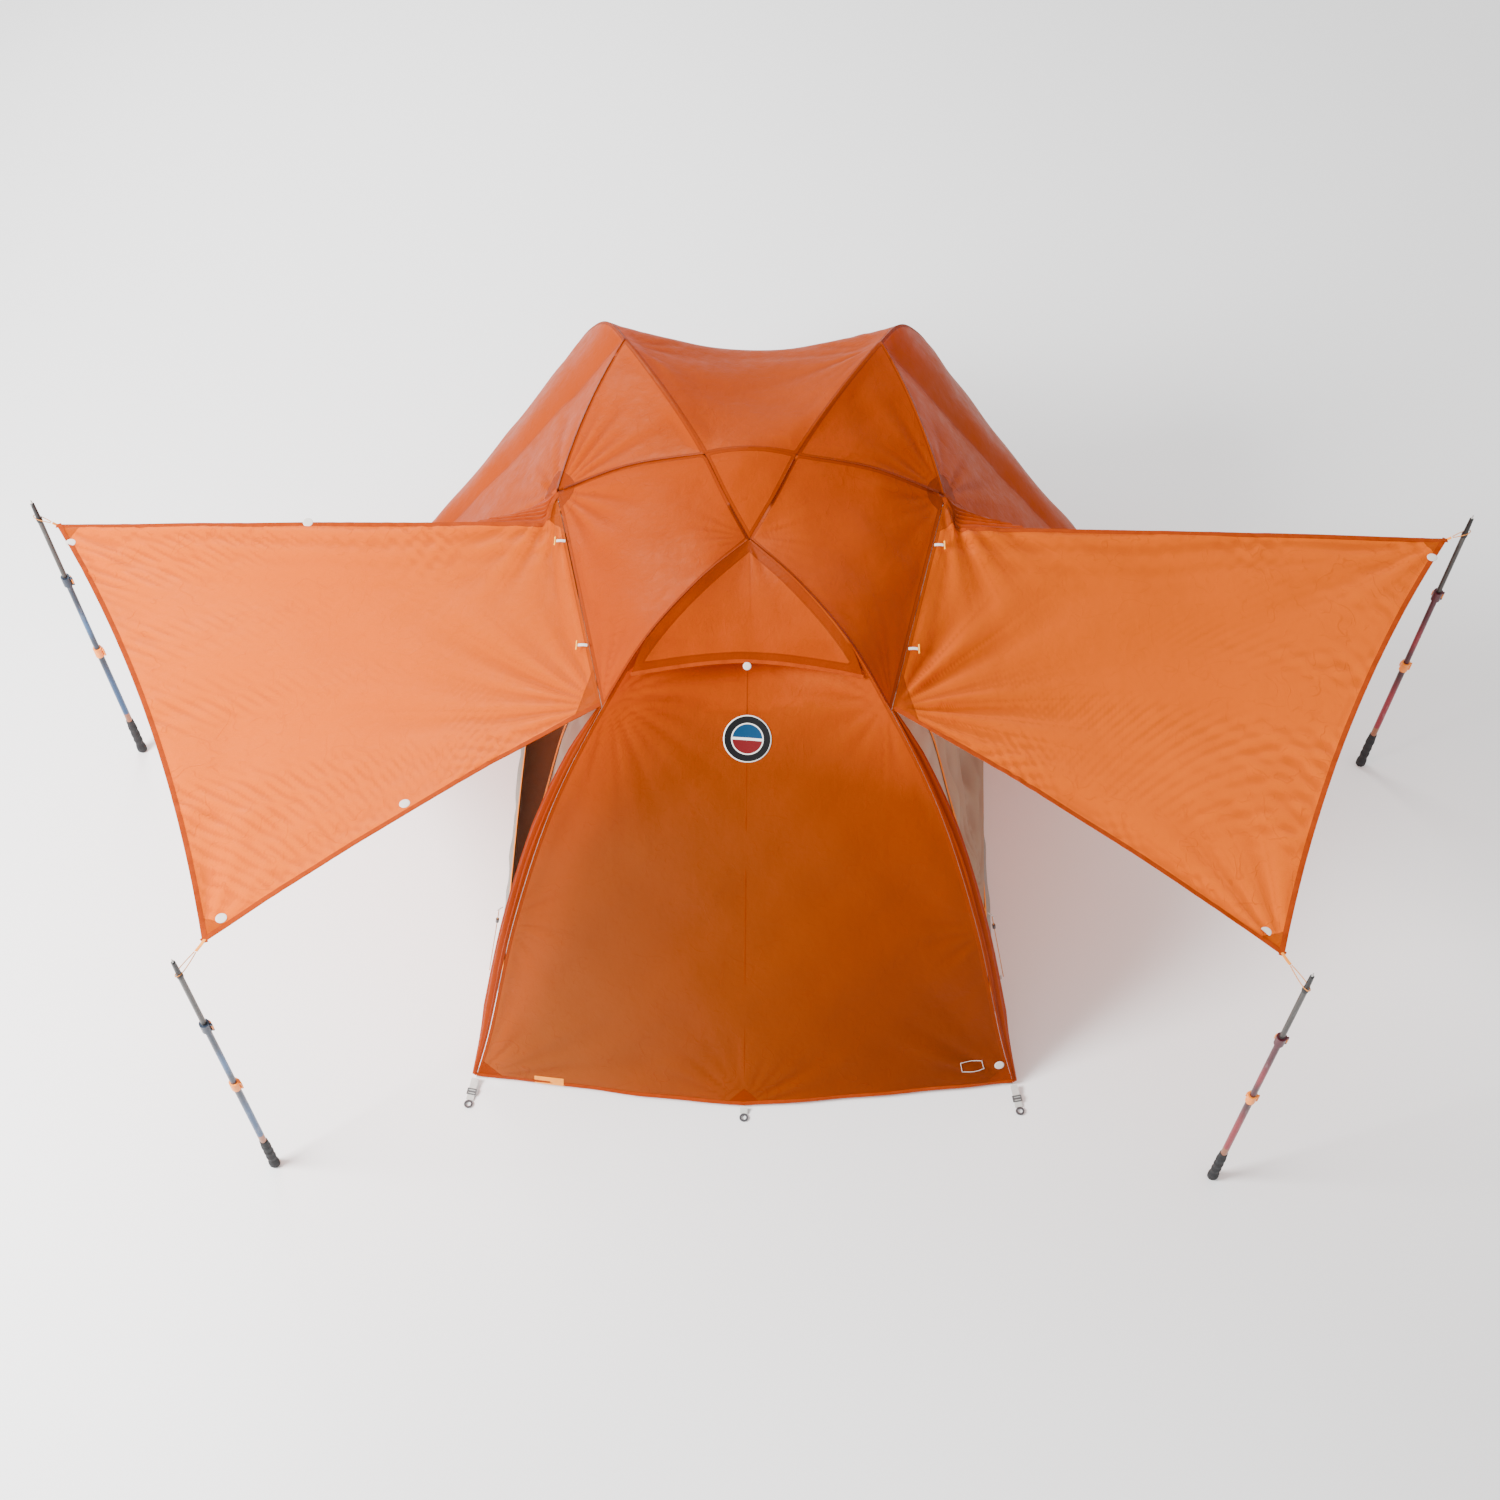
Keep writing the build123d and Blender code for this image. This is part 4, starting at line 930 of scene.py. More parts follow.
# ---- raised doors ----
DOOR_GRID = (184, 164)      # cells along the seam and out from it
DOTS = ((1.808, -0.094), (1.190, 0.005), (0.826, -0.906), (1.212, -1.236))
for side, hand in HANDS.items():
    body = f"door_{hand}"
    head_end, foot_end = on(side, brow_end), on(side, door_top)
    rear, front = on(side, mm(AWNING_REAR)), on(side, mm(AWNING_FRONT))
    seam_way = unit(head_end - foot_end)
    up = unit(np.cross(seam_way, rear - head_end)) * -side
    away = unit(np.cross(up, seam_way)) * side
    if (rear - head_end) @ away < 0:
        away = -away
    inner_rear = head_end - seam_way * 0.004 + away * 0.0025
    inner_front = foot_end + seam_way * 0.004 + away * 0.0025
    middle = (inner_rear + inner_front + rear + front) / 4

    def edge(a, b, depth, count):
        """Return an awning's edge, bowed towards its middle."""
        way = unit(b - a)
        inward = (middle - a) - way * ((middle - a) @ way)
        return bulged(a, b, count, unit(inward) * depth)

    count_u, count_v = DOOR_GRID
    seam_row = bulged(inner_rear, inner_front, count_u)
    outer_row = edge(rear, front, 0.052, count_u)
    gathered = inner_rear - seam_way * 0.090 + away * 0.050 + np.array([0, 0, -0.012])
    way = unit(rear - gathered)
    rear_row = smooth([inner_rear, (inner_rear + gathered) / 2 + away * 0.004, gathered,
                       gathered + way * 0.08, (gathered + rear) / 2 + up * 0.004, rear], count_v)
    front_row = edge(inner_front, front, 0.020, count_v)
    grid = coons(seam_row, outer_row, rear_row, front_row)
    grid = sag(grid, 0.034, (0, 0, -1.0), 0.9)
    way = normals(grid)
    lifted = way if way[0, 0, 2] > 0 else -way
    across, down = metric(grid)
    to_rear, to_front = across - across[:, :1], across[:, -1:] - across
    to_outer = down[-1:] - down
    height = ripples(grid, 0.0022, 0.30, 100 + side)
    for spot, size, reach, number in ((inner_rear, 0.010, 0.18, 13), (rear, 0.0075, 0.42, 12),
                                      (front, 0.0075, 0.34, 12), (inner_front, 0.008, 0.36, 13)):
        height = height + folds(grid, spot, size, reach, number, 110 + number + int(side))
    for make, gap, line, *sizes, seed in (
            (crimps, to_outer, across, 0.0030, 0.050, 0.16, 121),
            (crimps, to_front, down, 0.0016, 0.050, 0.05, 124),
            (crimps, to_rear, down, 0.0016, 0.060, 0.05, 127),
            (hem_folds, to_rear, down, 0.0050, 0.075, 0.060, 130),
            (hem_folds, to_front, down, 0.0030, 0.090, 0.045, 133)):
        height = height + make(gap, line, *sizes, seed + side)
    freedom = window(grid, 0.03, "t") * (0.30 + 0.70 * window(grid, 0.03, "lrb"))
    grid = grid + (height * freedom)[..., None] * lifted
    cloth = Cloth().add(grid)
    # the pleated cloth between the door's rear edge and the porch
    gather_top = bulged(inner_rear, inner_rear + unit(on(side, stake) - head_end) * 0.115, 40,
                        (0, 0, 0.004))
    t = np.linspace(0, 1, 25)[:, None, None]
    gather = gather_top[None] * (1 - t) + evenly(rear_row[:36], 40)[None] * t
    fan_angle = np.linspace(0, 1, 25)[:, None]
    spread = np.linspace(0, 1, 41)[None, :]
    tuck = np.sin(2 * math.pi * (5.5 * fan_angle + 0.4 * np.sin(5 * spread)))
    gather = gather + ((0.0055 * tuck * np.sqrt(spread)
                        * np.sin(math.pi * fan_angle) ** 0.5)[..., None] * np.array([0, 0, 1.0]))
    # the painted crease shade shows fully on the gathered cloth
    gather_piece = Cloth().add(gather, turn=side == LEFT).mesh(
        f"door_gather_{hand}", FLAP,
        lambda points: dict.fromkeys(("seam", "worn"), np.full(len(points), 1.0)), body=None)
    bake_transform(gather_piece)
    corner_sizes = ((rear, 0.062), (front, 0.062), (inner_rear, 0.085), (inner_front, 0.055))

    def awning_fields(points):
        """Return the seam and corner patch numbers of a raised door, its crease line amount and
        its painted pleat shading.
        """
        seam = near_line(points, seam_row[::4]) + 0.001
        patch = np.full(len(points), -1.0)
        for spot, size in corner_sizes:
            inward = unit(middle - spot)
            patch = np.maximum(patch, size - (points - spot) @ inward)
        # how strongly the painted crease shade shows: more near the door's free edges
        worn = 0.25 + np.exp(-near_line(points, outer_row[::4]) / 0.22)
        worn += 0.7 * np.exp(-near_line(points, front_row[::4]) / 0.10)
        worn += 0.7 * np.exp(-near_line(points, rear_row[::4]) / 0.10)
        # painted shade and painted highlight of pleating at the raised door's corners
        pleat_shading = sum(pleats(points, spot, reach, count) for spot, reach, count in (
            (inner_rear, 0.06, 26), (inner_front, 0.05, 20), (rear, 0.04, 18), (front, 0.04, 18)))
        return {"seam": seam, "patch": patch, "worn": np.minimum(worn, 1.0), "pleats": pleat_shading}

    piece = cloth.mesh(f"raised_door_{hand}", AWNING, awning_fields, body=body)
    for name, line, inner in (("outer", grid[-1], grid[-2]), ("rear", grid[:, 0], grid[:, 1]),
                              ("front", grid[:, -1], grid[:, -2])):
        binding(f"awning_hem_{name}_{hand}", line, inner, 0.013, body)
    dots = DOTS if side == LEFT else (DOTS[0], DOTS[-1])
    for number, spot in enumerate(dots):
        gap = grid[..., :2] - on(side, np.array([[*spot, 0.0]]))[0, :2]
        row, column = np.unravel_index(np.argmin((gap ** 2).sum(axis=-1)), gap.shape[:2])
        spot = grid[row, column]
        facing = lifted[row, column]
        made = disc(f"dot_{hand}_{number}", spot + facing * 0.0006, facing, 0.0135, 0.0012,
                    PALE, body)
    for corner, post, length in ((rear, "rear", 0.010), (front, "front", 0.028)):
        x, y = TREK[post]
        tip = np.array([side * x, y, 1.088])
        ahead = unit(tip - corner)
        line = np.array([corner + ahead * t for t in np.linspace(-0.022, 0.0015 + length, 9)])
        line[:, 2] += np.concatenate([[0.0022] * 3, [0.0014, 0.0006], [0.0] * 4])
        across = unit(np.cross(ahead, (0, 0, 1.0)))
        sections = strip_sections(line - across * 0.0035, across[None].repeat(9, 0), 0.007,
                                  0.0016)
        made = solid(f"tab_{post}_{hand}", sections, ORANGE_TAPE, body, smooth_faces=False)
    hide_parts(f"awning_{hand}")

# ---- storm flaps along the foot arms ----
for side, hand in HANDS.items():
    ridge = joined(bulged(door_top, foot_c[6], 6), foot_c[6:])
    share = np.interp(np.linspace(0, 1, len(ridge)), [0, 0.12, 0.3, 0.8, 1.0],
                      [0.22, 0.75, 1.0, 1.0, 0.35])
    outward = unit(np.array([0.75, 0.55, -0.30]))
    face = unit(np.array([0.7, -0.2, 0.7]))
    along = np.linspace(0, 1, len(ridge))[:, None]
    across = np.linspace(0, 1, 25)[None, :]
    wander = 0.6 * np.sin(9 * along + 1.0) + 0.35 * np.sin(23 * along + 2.0)
    wave = np.sin(math.pi * (3.4 * across + 0.35 * wander)) * (1 - 0.3 * across)
    depth = 0.0055 * wave * np.sin(math.pi * np.clip(across * 1.15, 0, 1)) * share[:, None]
    grid = (ridge[:, None] + outward * (0.037 * share[:, None] * across)[..., None]
            + face * (0.0045 + depth)[..., None])
    grid[:, 0] = ridge + face * 0.0015
    flap = Cloth().add(on(side, grid), turn=side == LEFT)
    length = float(np.sum(np.linalg.norm(np.diff(ridge, axis=0), axis=1)))

    def flap_fields(points):
        """Return the distance to the flap's seam."""
        return {"seam": near_line(points, on(side, ridge[::3]))}

    piece = flap.mesh(f"door_flap_{hand}", FLAP, flap_fields)
    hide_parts(f"storm_flap_{hand}")

# ---- badge, label, dots and patches on the foot wall ----


def badge_material():
    """A plain round patch in three rings, with two halves and no lettering."""
    made, tree, shader, _ = nodes_of("badge_print_rings")
    radius, height = field(tree, "radius"), field(tree, "height")
    white, dark = (0.72, 0.71, 0.68), (0.004, 0.004, 0.005)
    print_ = mixed(tree, ramp(tree, height, -0.0005, 0.0005), (0.12, 0.004, 0.006),
                   (0.001, 0.036, 0.095))
    print_ = mixed(tree, band(tree, height, -0.0035, -0.0030, 0.0030, 0.0035), print_, white)
    for start, colour in ((0.0385, white), (0.0415, dark), (0.0590, white)):
        print_ = mixed(tree, ramp(tree, radius, start, start + 0.0005), print_, colour)
    dress(tree, shader, print_, ramp(tree, noise(tree, 300.0), 0.2, 0.8, 0.45, 0.6),
          bump(tree, weave(tree, 0.0014, "Object"), 0.35, 0.0003), Specular_IOR_Level=0.15)
    return made


def draped_disc(name, grid, centre, radius, lift, material, rings=14, around=56):
    """Make a round patch that lies on a grid of cloth, a little above it; centre in mm."""
    centre = mm(centre)
    flat = grid.reshape(-1, 3)
    way = normals(grid).reshape(-1, 3)
    facing = unit(way[np.argmin(np.linalg.norm(flat - centre, axis=1))])
    if facing[1] > 0:
        facing = -facing
    side = unit(np.cross((0, 0, 1.0), facing))
    other = np.cross(facing, side)
    points, radii, heights = [centre], [0.0], [0.0]
    for r in range(1, rings + 1):
        reach = radius * r / rings
        for angle in circle(around):
            height = math.sin(angle) * reach
            points.append(centre + side * math.cos(angle) * reach + other * height)
            radii.append(reach)
            heights.append(height)
    points = np.array(points)
    for i, point in enumerate(points):
        gap = flat - point
        flatly = gap - (gap @ facing)[:, None] * facing
        nearest = np.argsort(np.linalg.norm(flatly, axis=1))[:4]
        weight = 1 / (np.linalg.norm(flatly[nearest], axis=1) + 1e-4)
        points[i] = point + facing * ((gap[nearest] @ facing) @ weight / weight.sum() + lift)
    faces = [(0, 1 + k, 1 + (k + 1) % around) for k in range(around)]
    for r in range(rings - 1):
        for k in range(around):
            a, b = 1 + r * around + k, 1 + r * around + (k + 1) % around
            faces.append((a, a + around, b + around, b))
    made = mesh_piece(name, points, faces, material)
    store(made.data, {"radius": radii, "height": heights})
    thick = made.modifiers.new("thickness", "SOLIDIFY")
    thick.thickness, thick.offset = 0.0009, 0.0
    return made


badge = draped_disc("round_badge", wall, (0, -640, 945), 0.062, 0.0012, badge_material())
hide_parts("badge")
fly_trim.append(badge)
for name, grid, centre, radius in (("dot_hood", hood, (0, -516, 1098), 0.0105),
                                   ("dot_foot_corner", wall, (705, -1112, 78), 0.0135)):
    made = draped_disc(name, grid, centre, radius, 0.0013, PALE, 4, 30)
    fly_trim.append(made)


def on_wall(column, row):
    """Return a point of the foot wall, at a fractional column and row, and its normal."""
    c, r = int(column), int(row)
    a, b = column - c, row - r
    point = ((1 - a) * (1 - b) * wall[r, c] + a * (1 - b) * wall[r, c + 1]
             + (1 - a) * b * wall[r + 1, c] + a * b * wall[r + 1, c + 1])
    return point, unit(wall_normals[r, c])


wall_normals = normals(wall)
wall_normals = wall_normals * np.where(wall_normals[..., 1:2] > 0, -1.0, 1.0)
LABEL_COLUMNS, LABEL_ROWS = (100.4, 105.0), (106.6, 109.2)
label_corners = [(LABEL_COLUMNS[i], LABEL_ROWS[j]) for i, j in ((0, 0), (1, 0), (1, 1), (0, 1))]
outline = []
for (c0, r0), (c1, r1) in zip(label_corners, label_corners[1:] + label_corners[:1]):
    for t in np.linspace(0, 1, 14)[:-1]:
        point, facing = on_wall(c0 + (c1 - c0) * t, r0 + (r1 - r0) * t)
        outline.append(point + facing * 0.0022)
label = solid("label_outline", round_sections(np.array(outline), 0.0009, 6), PALE, closed=True)
fly_trim.append(label)
tag_line, tag_in = wall[-1, 12:19], wall[-3, 12:19]      # a short tag folded over the hem
tag = solid("hem_tag", strip_sections(tag_line, tag_in - tag_line, 0.026, 0.0022, start=-0.001),
            ORANGE_TAPE, smooth_faces=False)
fly_trim.append(tag)

# ---- inner tent ----
inner = Cloth()
foot_top, foot_rest = curve(mm([INNER_HUB] + INNER_FOOT), [(0, 1, 24), (1, 5, 60)])
foot_line = joined(foot_top, foot_rest)
inner_foot_centre = smooth(mm(INNER_FOOT_CENTRE), len(foot_line) - 1)
inner_foot = spanned(foot_line, inner_foot_centre, 64, 1.7)
inner.add(slack(inner_foot, 0.06, 0.003, 0.2, 200), turn=True)
head_line = smooth(mm(INNER_SHOULDER), 66)
inner_head_centre = smooth(mm(INNER_HEAD_CENTRE), 66)
inner_head = spanned(head_line, inner_head_centre, 64, 1.7)
inner.add(slack(inner_head, 0.06, 0.003, 0.2, 201))
eave, = curve(mm([INNER_FOOT[0], DOOR_FOOT_EDGE[0], INNER_BROW, DOOR_HEAD_EDGE[0],
                  INNER_SHOULDER[0]]), [(0, 4, 96)])
near_row = joined(flipped(foot_top[::-1]), foot_top)
far_row = spanned(head_line[:1], inner_head_centre[:1], 48, 1.7)[0]
inner_roof = coons(near_row, far_row, flipped(eave), eave)
inner_roof = sag(inner_roof, 0.045, (0, 0, -1.0), 1.0)
inner.add(slack(inner_roof, 0.06, 0.003, 0.2, 202))
door_foot = smooth(mm(DOOR_FOOT_EDGE), 60)
door_head = smooth(mm(DOOR_HEAD_EDGE), 60)
for side in (LEFT, RIGHT):
    foot_piece = coons(bulged(foot_rest[0], door_foot[0], 16),
                       bulged(foot_rest[-1], door_foot[-1], 16), foot_rest, door_foot)
    head_piece = coons(bulged(door_head[0], head_line[0], 24),
                       bulged(door_head[-1], head_line[-1], 24),
                       door_head, smooth(head_line, 60))
    for tune, grid in enumerate((foot_piece, head_piece)):
        grid = slack(grid, 0.04, 0.003, 0.11, 210 + tune + side)
        inner.add(on(side, grid), turn=side == LEFT)


def inner_fields(points):
    """Return the distance to the inner tent's seams."""
    lines = [on(s, line) for s in (LEFT, RIGHT) for line in (foot_line, head_line, eave)]
    return {"seam": np.min([near_line(points, line[::3]) for line in lines], axis=0)}


inner_obj = inner.mesh("inner_tent", INNER, inner_fields)
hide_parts("inner_foot_wall", "inner_head_wall", "inner_roof", "inner_side_left",
            "inner_side_right")

closed_foot = door_foot + np.array([[0.001, 0.006, 0]])
closed_head = door_head + np.array([[0.001, -0.006, 0]])
door_grid = coons(bulged(closed_foot[0], closed_head[0], 80, (0.006, 0, -0.010)),
                  bulged(closed_foot[-1], closed_head[-1], 80),
                  closed_foot, closed_head)
door_grid = sag(door_grid, 0.018, (-1.0, 0, -0.2), 1.0)
door_grid = slack(door_grid, 0.05, 0.005, 0.16, 230, rows=[
    (closed_foot[0], 0.007, 0.35, 16, 231), (closed_head[0], 0.007, 0.35, 16, 232),
    (closed_head[-1], 0.007, 0.35, 16, 233), (closed_foot[-1], 0.007, 0.35, 16, 234)])
right_door = Cloth().add(door_grid).mesh(
    "inner_door_closed", DOOR,
    lambda points: {"seam": near_line(points, closed_foot[::3])})
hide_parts("inner_door_right")


def zip_line(name, line, facing):
    """Make a zip: a woven tape with a raised coil, along a line."""
    line = np.asarray(line, float)
    across = unit(np.cross(np.gradient(line, axis=0), facing))
    sections = strip_sections(line - across * 0.006, across, 0.012, 0.0014)
    tape = solid(name, sections, ORANGE_TAPE, smooth_faces=False)
    coil = solid(name + "_coil", round_sections(line + unit(facing) * 0.0012, 0.0016, 8),
                 ZIP_TAPE)


for side, hand in ((RIGHT, "right"), (LEFT, "left")):
    for end, line, shift in (("foot", door_foot, 0.002), ("head", door_head, -0.002)):
        zip_line(f"zip_{hand}_{end}", on(side, line + np.array([[0.003, shift, 0]])),
                 on(side, (1.0, 0, 0.15)))

# the left inner door, rolled up beside its opening
roll_line = smooth(mm(DOOR_HEAD_EDGE[:4]) + np.array([[-0.022, -0.010, 0]]), 80)
turns, inner_radius, outer_radius = 11.5, 0.003, 0.0186
spin = np.linspace(0, 1, int(turns * 20))
along = unit(np.gradient(roll_line, axis=0))
guide = np.array([1.0, 0, 0])
grid = []
for number, (point, way) in enumerate(zip(roll_line, along)):
    guide = unit(guide - way * (guide @ way))
    other = np.cross(way, guide)
    wobble = 1 + 0.05 * math.sin(number * 0.55) + 0.03 * math.sin(number * 1.3 + 1)
    pinch = 1 - 0.22 * sum(math.exp(-((number / 80 - s) / 0.03) ** 2) for s in (0.25, 0.7))
    r = (inner_radius + (outer_radius - inner_radius) * spin) * min(wobble, 1.04) * pinch
    angle = spin * turns * 2 * math.pi + 0.25 * math.sin(number * 0.2)
    grid.append(point + (r * np.cos(angle))[:, None] * guide
                + (r * np.sin(angle))[:, None] * other)
rolled = Cloth().add(flipped(np.array(grid))).mesh(
    "inner_door_rolled", DOOR, lambda points: {"seam": np.full(len(points), 1.0)})
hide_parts("rolled_door_left")
for share in (0.25, 0.7):
    number = int(share * 80)
    centre, way = flipped(roll_line[number]), unit(flipped(along[number]))
    ring_side = unit(np.cross(way, (0, 1.0, 0)))
    ring_other = np.cross(way, ring_side)
    angle = circle(48)[:, None]
    ring = centre + 0.0168 * (np.cos(angle) * ring_side + np.sin(angle) * ring_other)
    sections = np.stack([ring + way * a + unit(ring - centre) * b for a, b in
                         ((-0.006, 0), (-0.006, 0.0014), (0.006, 0.0014), (0.006, 0))], axis=1)
    made = solid(f"door_tie_{number}", sections, GREY_WEBBING, closed=True, smooth_faces=False)

# ---- floor and its tub walls ----
half_low = mm([(x, y, 2.0) for x, y in FLOOR])
half_high = mm([(x - TUB_LEAN, y + (TUB_LEAN if y < -900 else -TUB_LEAN if y > 900 else 0),
                 TUB_HEIGHT) for x, y in FLOOR])
low_right = joined(bulged(half_low[0], half_low[1], 60),
                   bulged(half_low[1], half_low[2], 62))
low_left = flipped(low_right)
low_near = bulged(low_left[0], low_right[0], 70)
low_far = bulged(low_left[-1], low_right[-1], 70)
ground = coons(low_near, low_far, low_left, low_right)
ground[..., 2] += np.abs(ripples(ground, 0.0018, 0.25, 300)) * window(ground, 0.05)
tub = Cloth().add(ground)
high_right = joined(bulged(half_high[0], half_high[1], 60, (0.004, 0, -0.002)),
                    bulged(half_high[1], half_high[2], 62, (0.004, 0, -0.002)))
high_near = bulged(flipped(half_high[0]), half_high[0], 70, (0, -0.004, -0.003))
high_far = bulged(flipped(half_high[-1]), half_high[-1], 70, (0, 0.004, -0.003))
tops = []
for low, high, turn in ((low_right, high_right, True), (low_left, flipped(high_right), False),
                        (low_near, high_near, True), (low_far, high_far, False)):
    t = np.linspace(0, 1, 9)[:, None, None]
    grid = low[None] * (1 - t) + high[None] * t
    grid = sag(grid, 0.006, unit(np.array([grid[4, 60, 0], grid[4, 60, 1], 0])), 0.5)
    grid = slack(grid, 0.03, 0.003, 0.12, 301)
    grid[0], grid[-1] = low, high
    tub.add(grid, turn=turn)
    tops.append((grid[-1], grid[-2]))
tub_obj = tub.mesh("floor_and_tub", TUB, lambda points: {
    "seam": np.min([near_line(points, line[::4]) for line in (low_right, low_left)], axis=0)})
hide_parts("floor_tub")
tub_trim = [binding(f"tub_seam_{number}", line, inner_line, 0.006, material=ORANGE_TAPE)
            for number, (line, inner_line) in enumerate(tops)]

# ---- cords ----
GUY_TOP, GUY_FOOT = mm(GUY)


def cord_curve(name, points, radius, material, body=TENT):
    """Make a cord: a smooth open spline through the route's corners."""
    data = bpy.data.curves.new(name, "CURVE")
    data.dimensions = "3D"
    data.bevel_depth = radius
    data.bevel_resolution = 3
    data.resolution_u = 12
    data.use_fill_caps = True
    spline = data.splines.new("NURBS")
    spline.points.add(len(points) - 1)
    for slot_, point in zip(spline.points, points):
        slot_.co = (*point, 1.0)
    spline.order_u = 3
    spline.use_endpoint_u = True
    data.materials.append(material)
    made = placed(name, data)
    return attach(made, body)


for side, hand in HANDS.items():
    top_end, foot_end = on(side, GUY_TOP), on(side, GUY_FOOT)
    points = [top_end, (top_end + foot_end) / 2, foot_end]
    made = cord_curve(f"tension_cord_{hand}", points, 0.0012, ORANGE_CORD)
    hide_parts(f"guyline_{hand}")

LOOP_HEIGHT = 1.088
for side, hand in HANDS.items():
    for corner, post, length, real in ((mm(AWNING_REAR), "rear", 0.010, 0.095),
                                       (mm(AWNING_FRONT), "front", 0.028, 0.170)):
        corner = on(side, corner)
        x, y = TREK[post]
        tip = np.array([side * x, y, LOOP_HEIGHT])
        knot = corner + unit(tip - corner) * (0.005 + length)
        reach = np.array([tip[0] - knot[0], tip[1] - knot[1], 0])
        ahead = unit(reach)
        far = np.linalg.norm(reach) + 0.0115
        rise = LOOP_HEIGHT - knot[2]
        beside = np.array([-ahead[1], ahead[0], 0])
        ends = [knot + beside * step for step in (0.0019, -0.0019)]
        outer = [knot + ahead * far + np.array([0, 0, rise]) + beside * step
                 for step in (0.0125, -0.0125)]
        made = cord_curve(f"corner_loop_{post}_{hand}", [ends[0], *outer, ends[1]], 0.0012,
                          ORANGE_CORD, f"door_{hand}")
        if post == "rear":
            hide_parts(f"corner_loops_{hand}")

# ---- toggles: a white elastic loop and a bar ----
for side, hand in HANDS.items():
    for number, share in enumerate((0.26, 0.745)):
        seat = door_top * (1 - share) + brow_end * share + np.array([0.006, 0, 0.009])
        strap_line = np.array([seat + np.array([0.024 * t, 0, 0.0016 * math.sin(math.pi * t)])
                               for t in np.linspace(0, 1, 9)])
        across = np.array([[0, 1.0, 0]]).repeat(9, 0)
        made = solid(f"toggle_loop_{hand}_{number}",
                     strip_sections(on(side, strap_line - across * 0.004), across, 0.008, 0.0015),
                     ELASTIC, smooth_faces=False)
        bar_at = np.linspace(-0.015, 0.015, 15)
        bar_line = seat + np.array([0.0275, 0, 0]) + bar_at[:, None] * np.array([0, 1.0, 0])
        waist = 0.0019 + 0.0010 * (np.abs(bar_at) / 0.015) ** 3
        waist[[0, -1]] = 0.0012
        bar = solid(f"toggle_bar_{hand}_{number}", round_sections(on(side, bar_line), waist, 14),
                    YELLOW_PLASTIC)
        if (side, number) == (LEFT, 0):          # one of them stands for the CAD node
            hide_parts("toggles")

# ---- grips of the trekking poles, standing on their heads ----
GRIP_PROFILE = ((0.0005, 0.0060), (0.0012, 0.0118), (0.005, 0.0144), (0.013, 0.0153),
                (0.024, 0.0150), (0.034, 0.0132), (0.043, 0.0120), (0.052, 0.0131),
                (0.061, 0.0139), (0.069, 0.0127), (0.076, 0.0124), (0.085, 0.0136),
                (0.093, 0.0137), (0.101, 0.0125), (0.108, 0.0124), (0.118, 0.0135),
                (0.127, 0.0134), (0.138, 0.0122), (0.149, 0.0116), (0.157, 0.0112),
                (0.1605, 0.0108), (0.162, 0.0098))
grip_line = smooth([(0, radius, height) for height, radius in GRIP_PROFILE], 90)
for side, hand in HANDS.items():
    for post, (x, y) in TREK.items():
        angle = circle(32)
        lobes = 1 - 0.05 * (1 - np.cos(2 * angle)) + 0.012 * np.cos(8 * angle)
        rings = []
        for _, radius, height in grip_line:
            groove = 1 - 0.035 * (0.060 < height < 0.135) * (0.5 + 0.5 * math.sin(height * 900))
            rings.append(np.stack([side * x + radius * groove * lobes * np.cos(angle),
                                   y + radius * groove * lobes * np.sin(angle),
                                   np.full(32, height)], axis=1))
        grip = solid(f"pole_grip_{post}_{hand}", rings, FOAM)
        if (side, post) == (LEFT, "rear"):       # one of them stands for the CAD node
            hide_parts("trekking_grips")

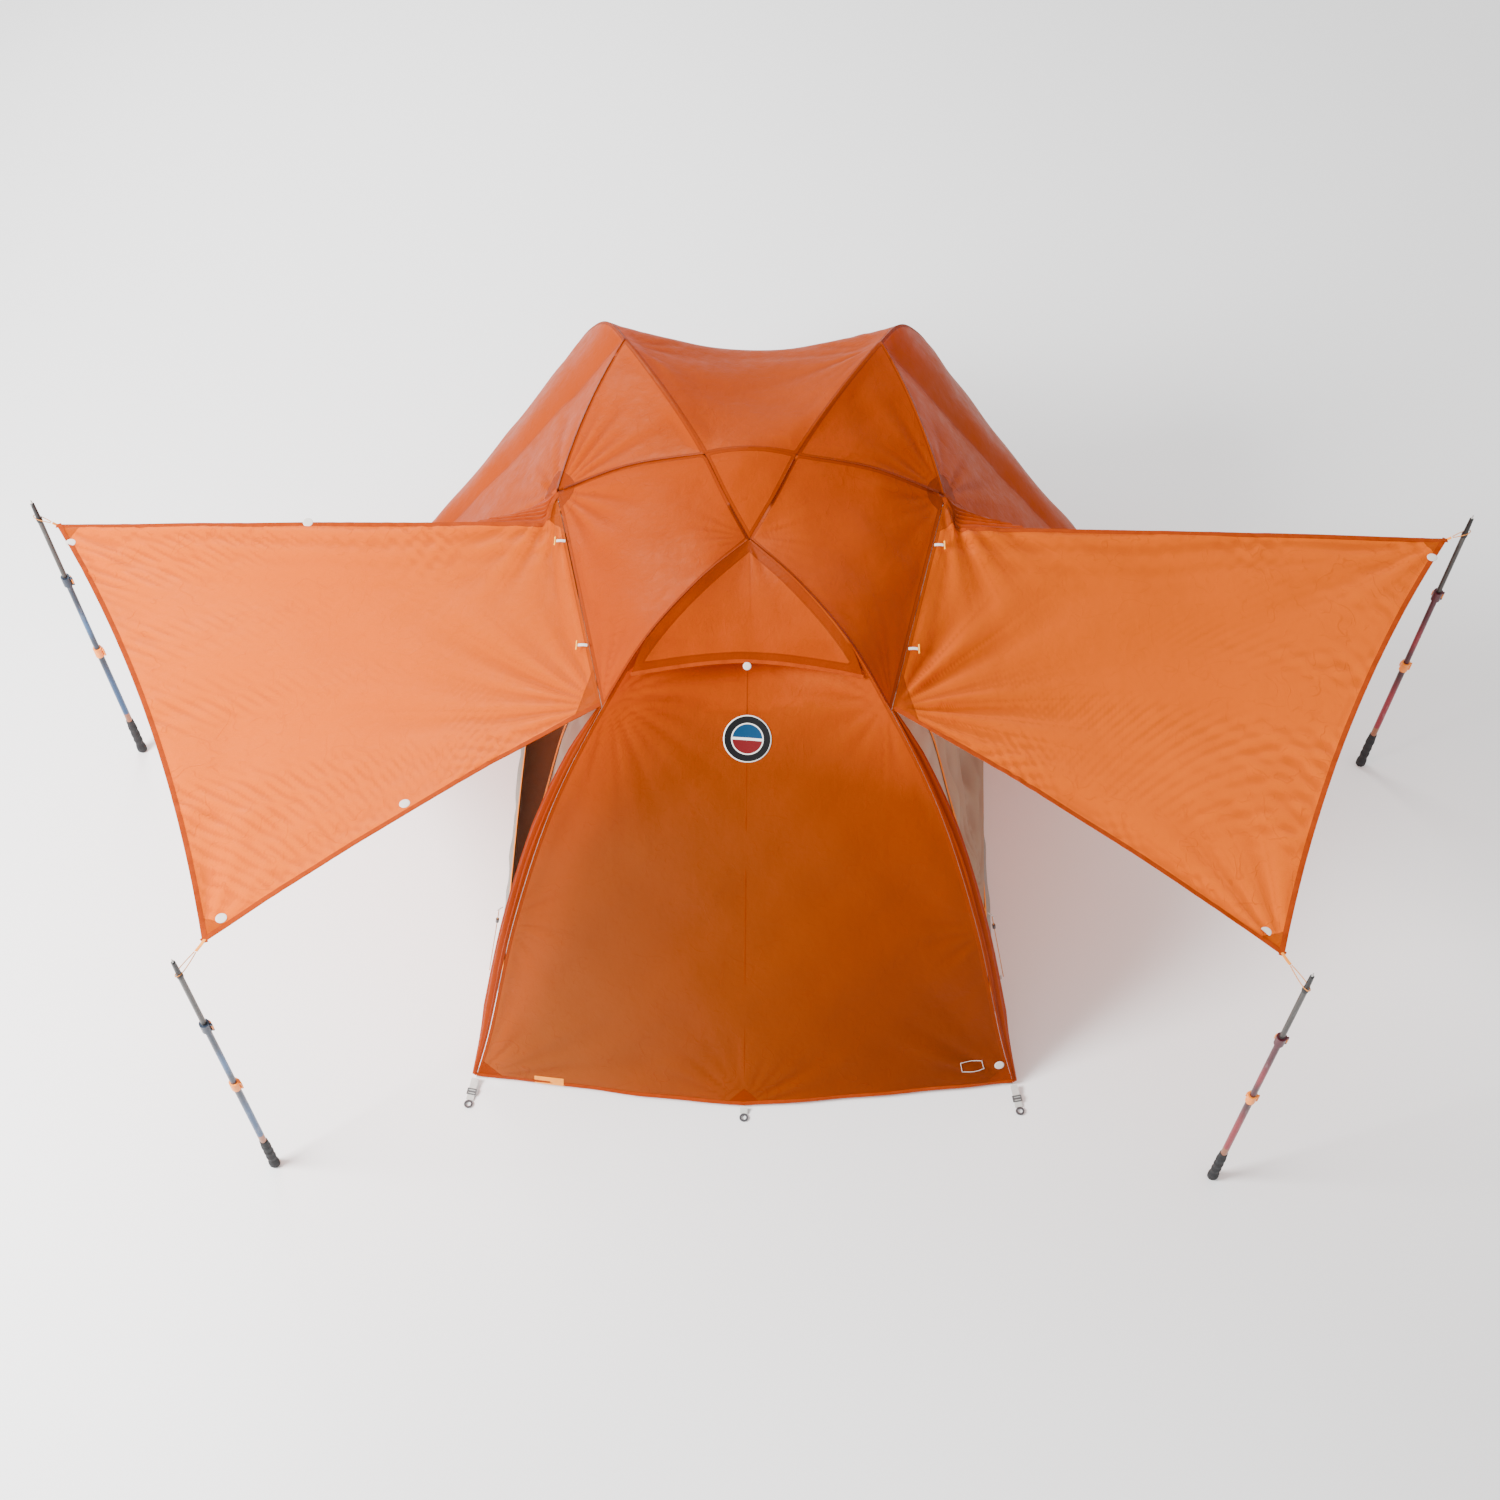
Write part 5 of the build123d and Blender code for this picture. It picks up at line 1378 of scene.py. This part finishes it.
# ---- stage, light and camera ----
FLOOR_DROP, FLOOR_GREY, SKY = 0.0015, 0.93, 1.1
bpy.ops.mesh.primitive_plane_add(size=60, location=(0, 0, -FLOOR_DROP))
floor = bpy.context.object
floor.name = "studio_floor"
floor_material, tree, shader, _ = nodes_of("studio_white")
shader.inputs["Base Color"].default_value = (FLOOR_GREY, FLOOR_GREY, FLOOR_GREY, 1)
shader.inputs["Roughness"].default_value = 0.9
floor.data.materials.append(floor_material)
floor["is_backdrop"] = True

world = bpy.data.worlds.new("studio")
bpy.context.scene.world = world
world.use_nodes = True
world.node_tree.nodes["Background"].inputs[0].default_value = (1.0, 1.0, 1.0, 1)
world.node_tree.nodes["Background"].inputs[1].default_value = SKY


def area_light(name, place, target, size, power):
    """Add a square soft light."""
    data = bpy.data.lights.new(name, "AREA")
    data.size, data.energy = size, power
    made = placed(name, data)
    made.location = place
    made.rotation_euler = (Vector(target) - Vector(place)).to_track_quat("-Z", "Y").to_euler()


area_light("key", (-3.7, -2.0, 3.7), (-0.2, -0.2, 0.7), 1.9, 700)
area_light("back", (-2.4, 3.8, 3.8), (0, 0.3, 0.9), 2.3, 270)

VIEW_TURN, VIEW_TILT = math.radians(0.8), math.radians(55.0)
VIEW_BACK, VIEW_HEIGHT, LENS, SENSOR = 3.465, 4.944, 46.272, 36.0
camera_data = bpy.data.cameras.new("camera")
camera_data.sensor_width, camera_data.lens = SENSOR, LENS
camera_data.clip_end = 200
camera = placed("camera", camera_data)
camera.location = (VIEW_BACK * math.sin(VIEW_TURN), -VIEW_BACK * math.cos(VIEW_TURN),
                   VIEW_HEIGHT)
camera.rotation_euler = (math.pi / 2 - VIEW_TILT, 0, VIEW_TURN)
bpy.context.scene.camera = camera

# ---- finishes of the CAD pieces that stay ----
NODE_FINISH = {
    "pole_hub": BLACK_PLASTIC, "foot_pole_left": ALLOY, "foot_pole_right": ALLOY,
    "head_pole_left": ALLOY, "head_pole_right": ALLOY, "brow_pole": ALLOY,
    "pole_ferrules": STEEL, "pole_clips": BLACK_PLASTIC, "pole_tips": STEEL,
    "corner_grommets": GREY_WEBBING, "vent_strut": BLACK_PLASTIC, "stake_straps": GREY_WEBBING,
    "strap_buckles": BUCKLE, "stake_rings": RING_PLASTIC,
    "upper_shafts": UPPER_PAINT, "upper_clamps": LOCK}
FAMILY_FINISH = {"_lever_": LOCK, "middle_shaft": MIDDLE_PAINT, "lower_shaft": LOWER_PAINT}
for name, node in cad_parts.items():
    finish = NODE_FINISH.get(name)
    for words, shared in FAMILY_FINISH.items():
        if words in name:
            finish = shared
    if finish is not None:
        node.data.materials.clear()
        node.data.materials.append(finish)

low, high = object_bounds()
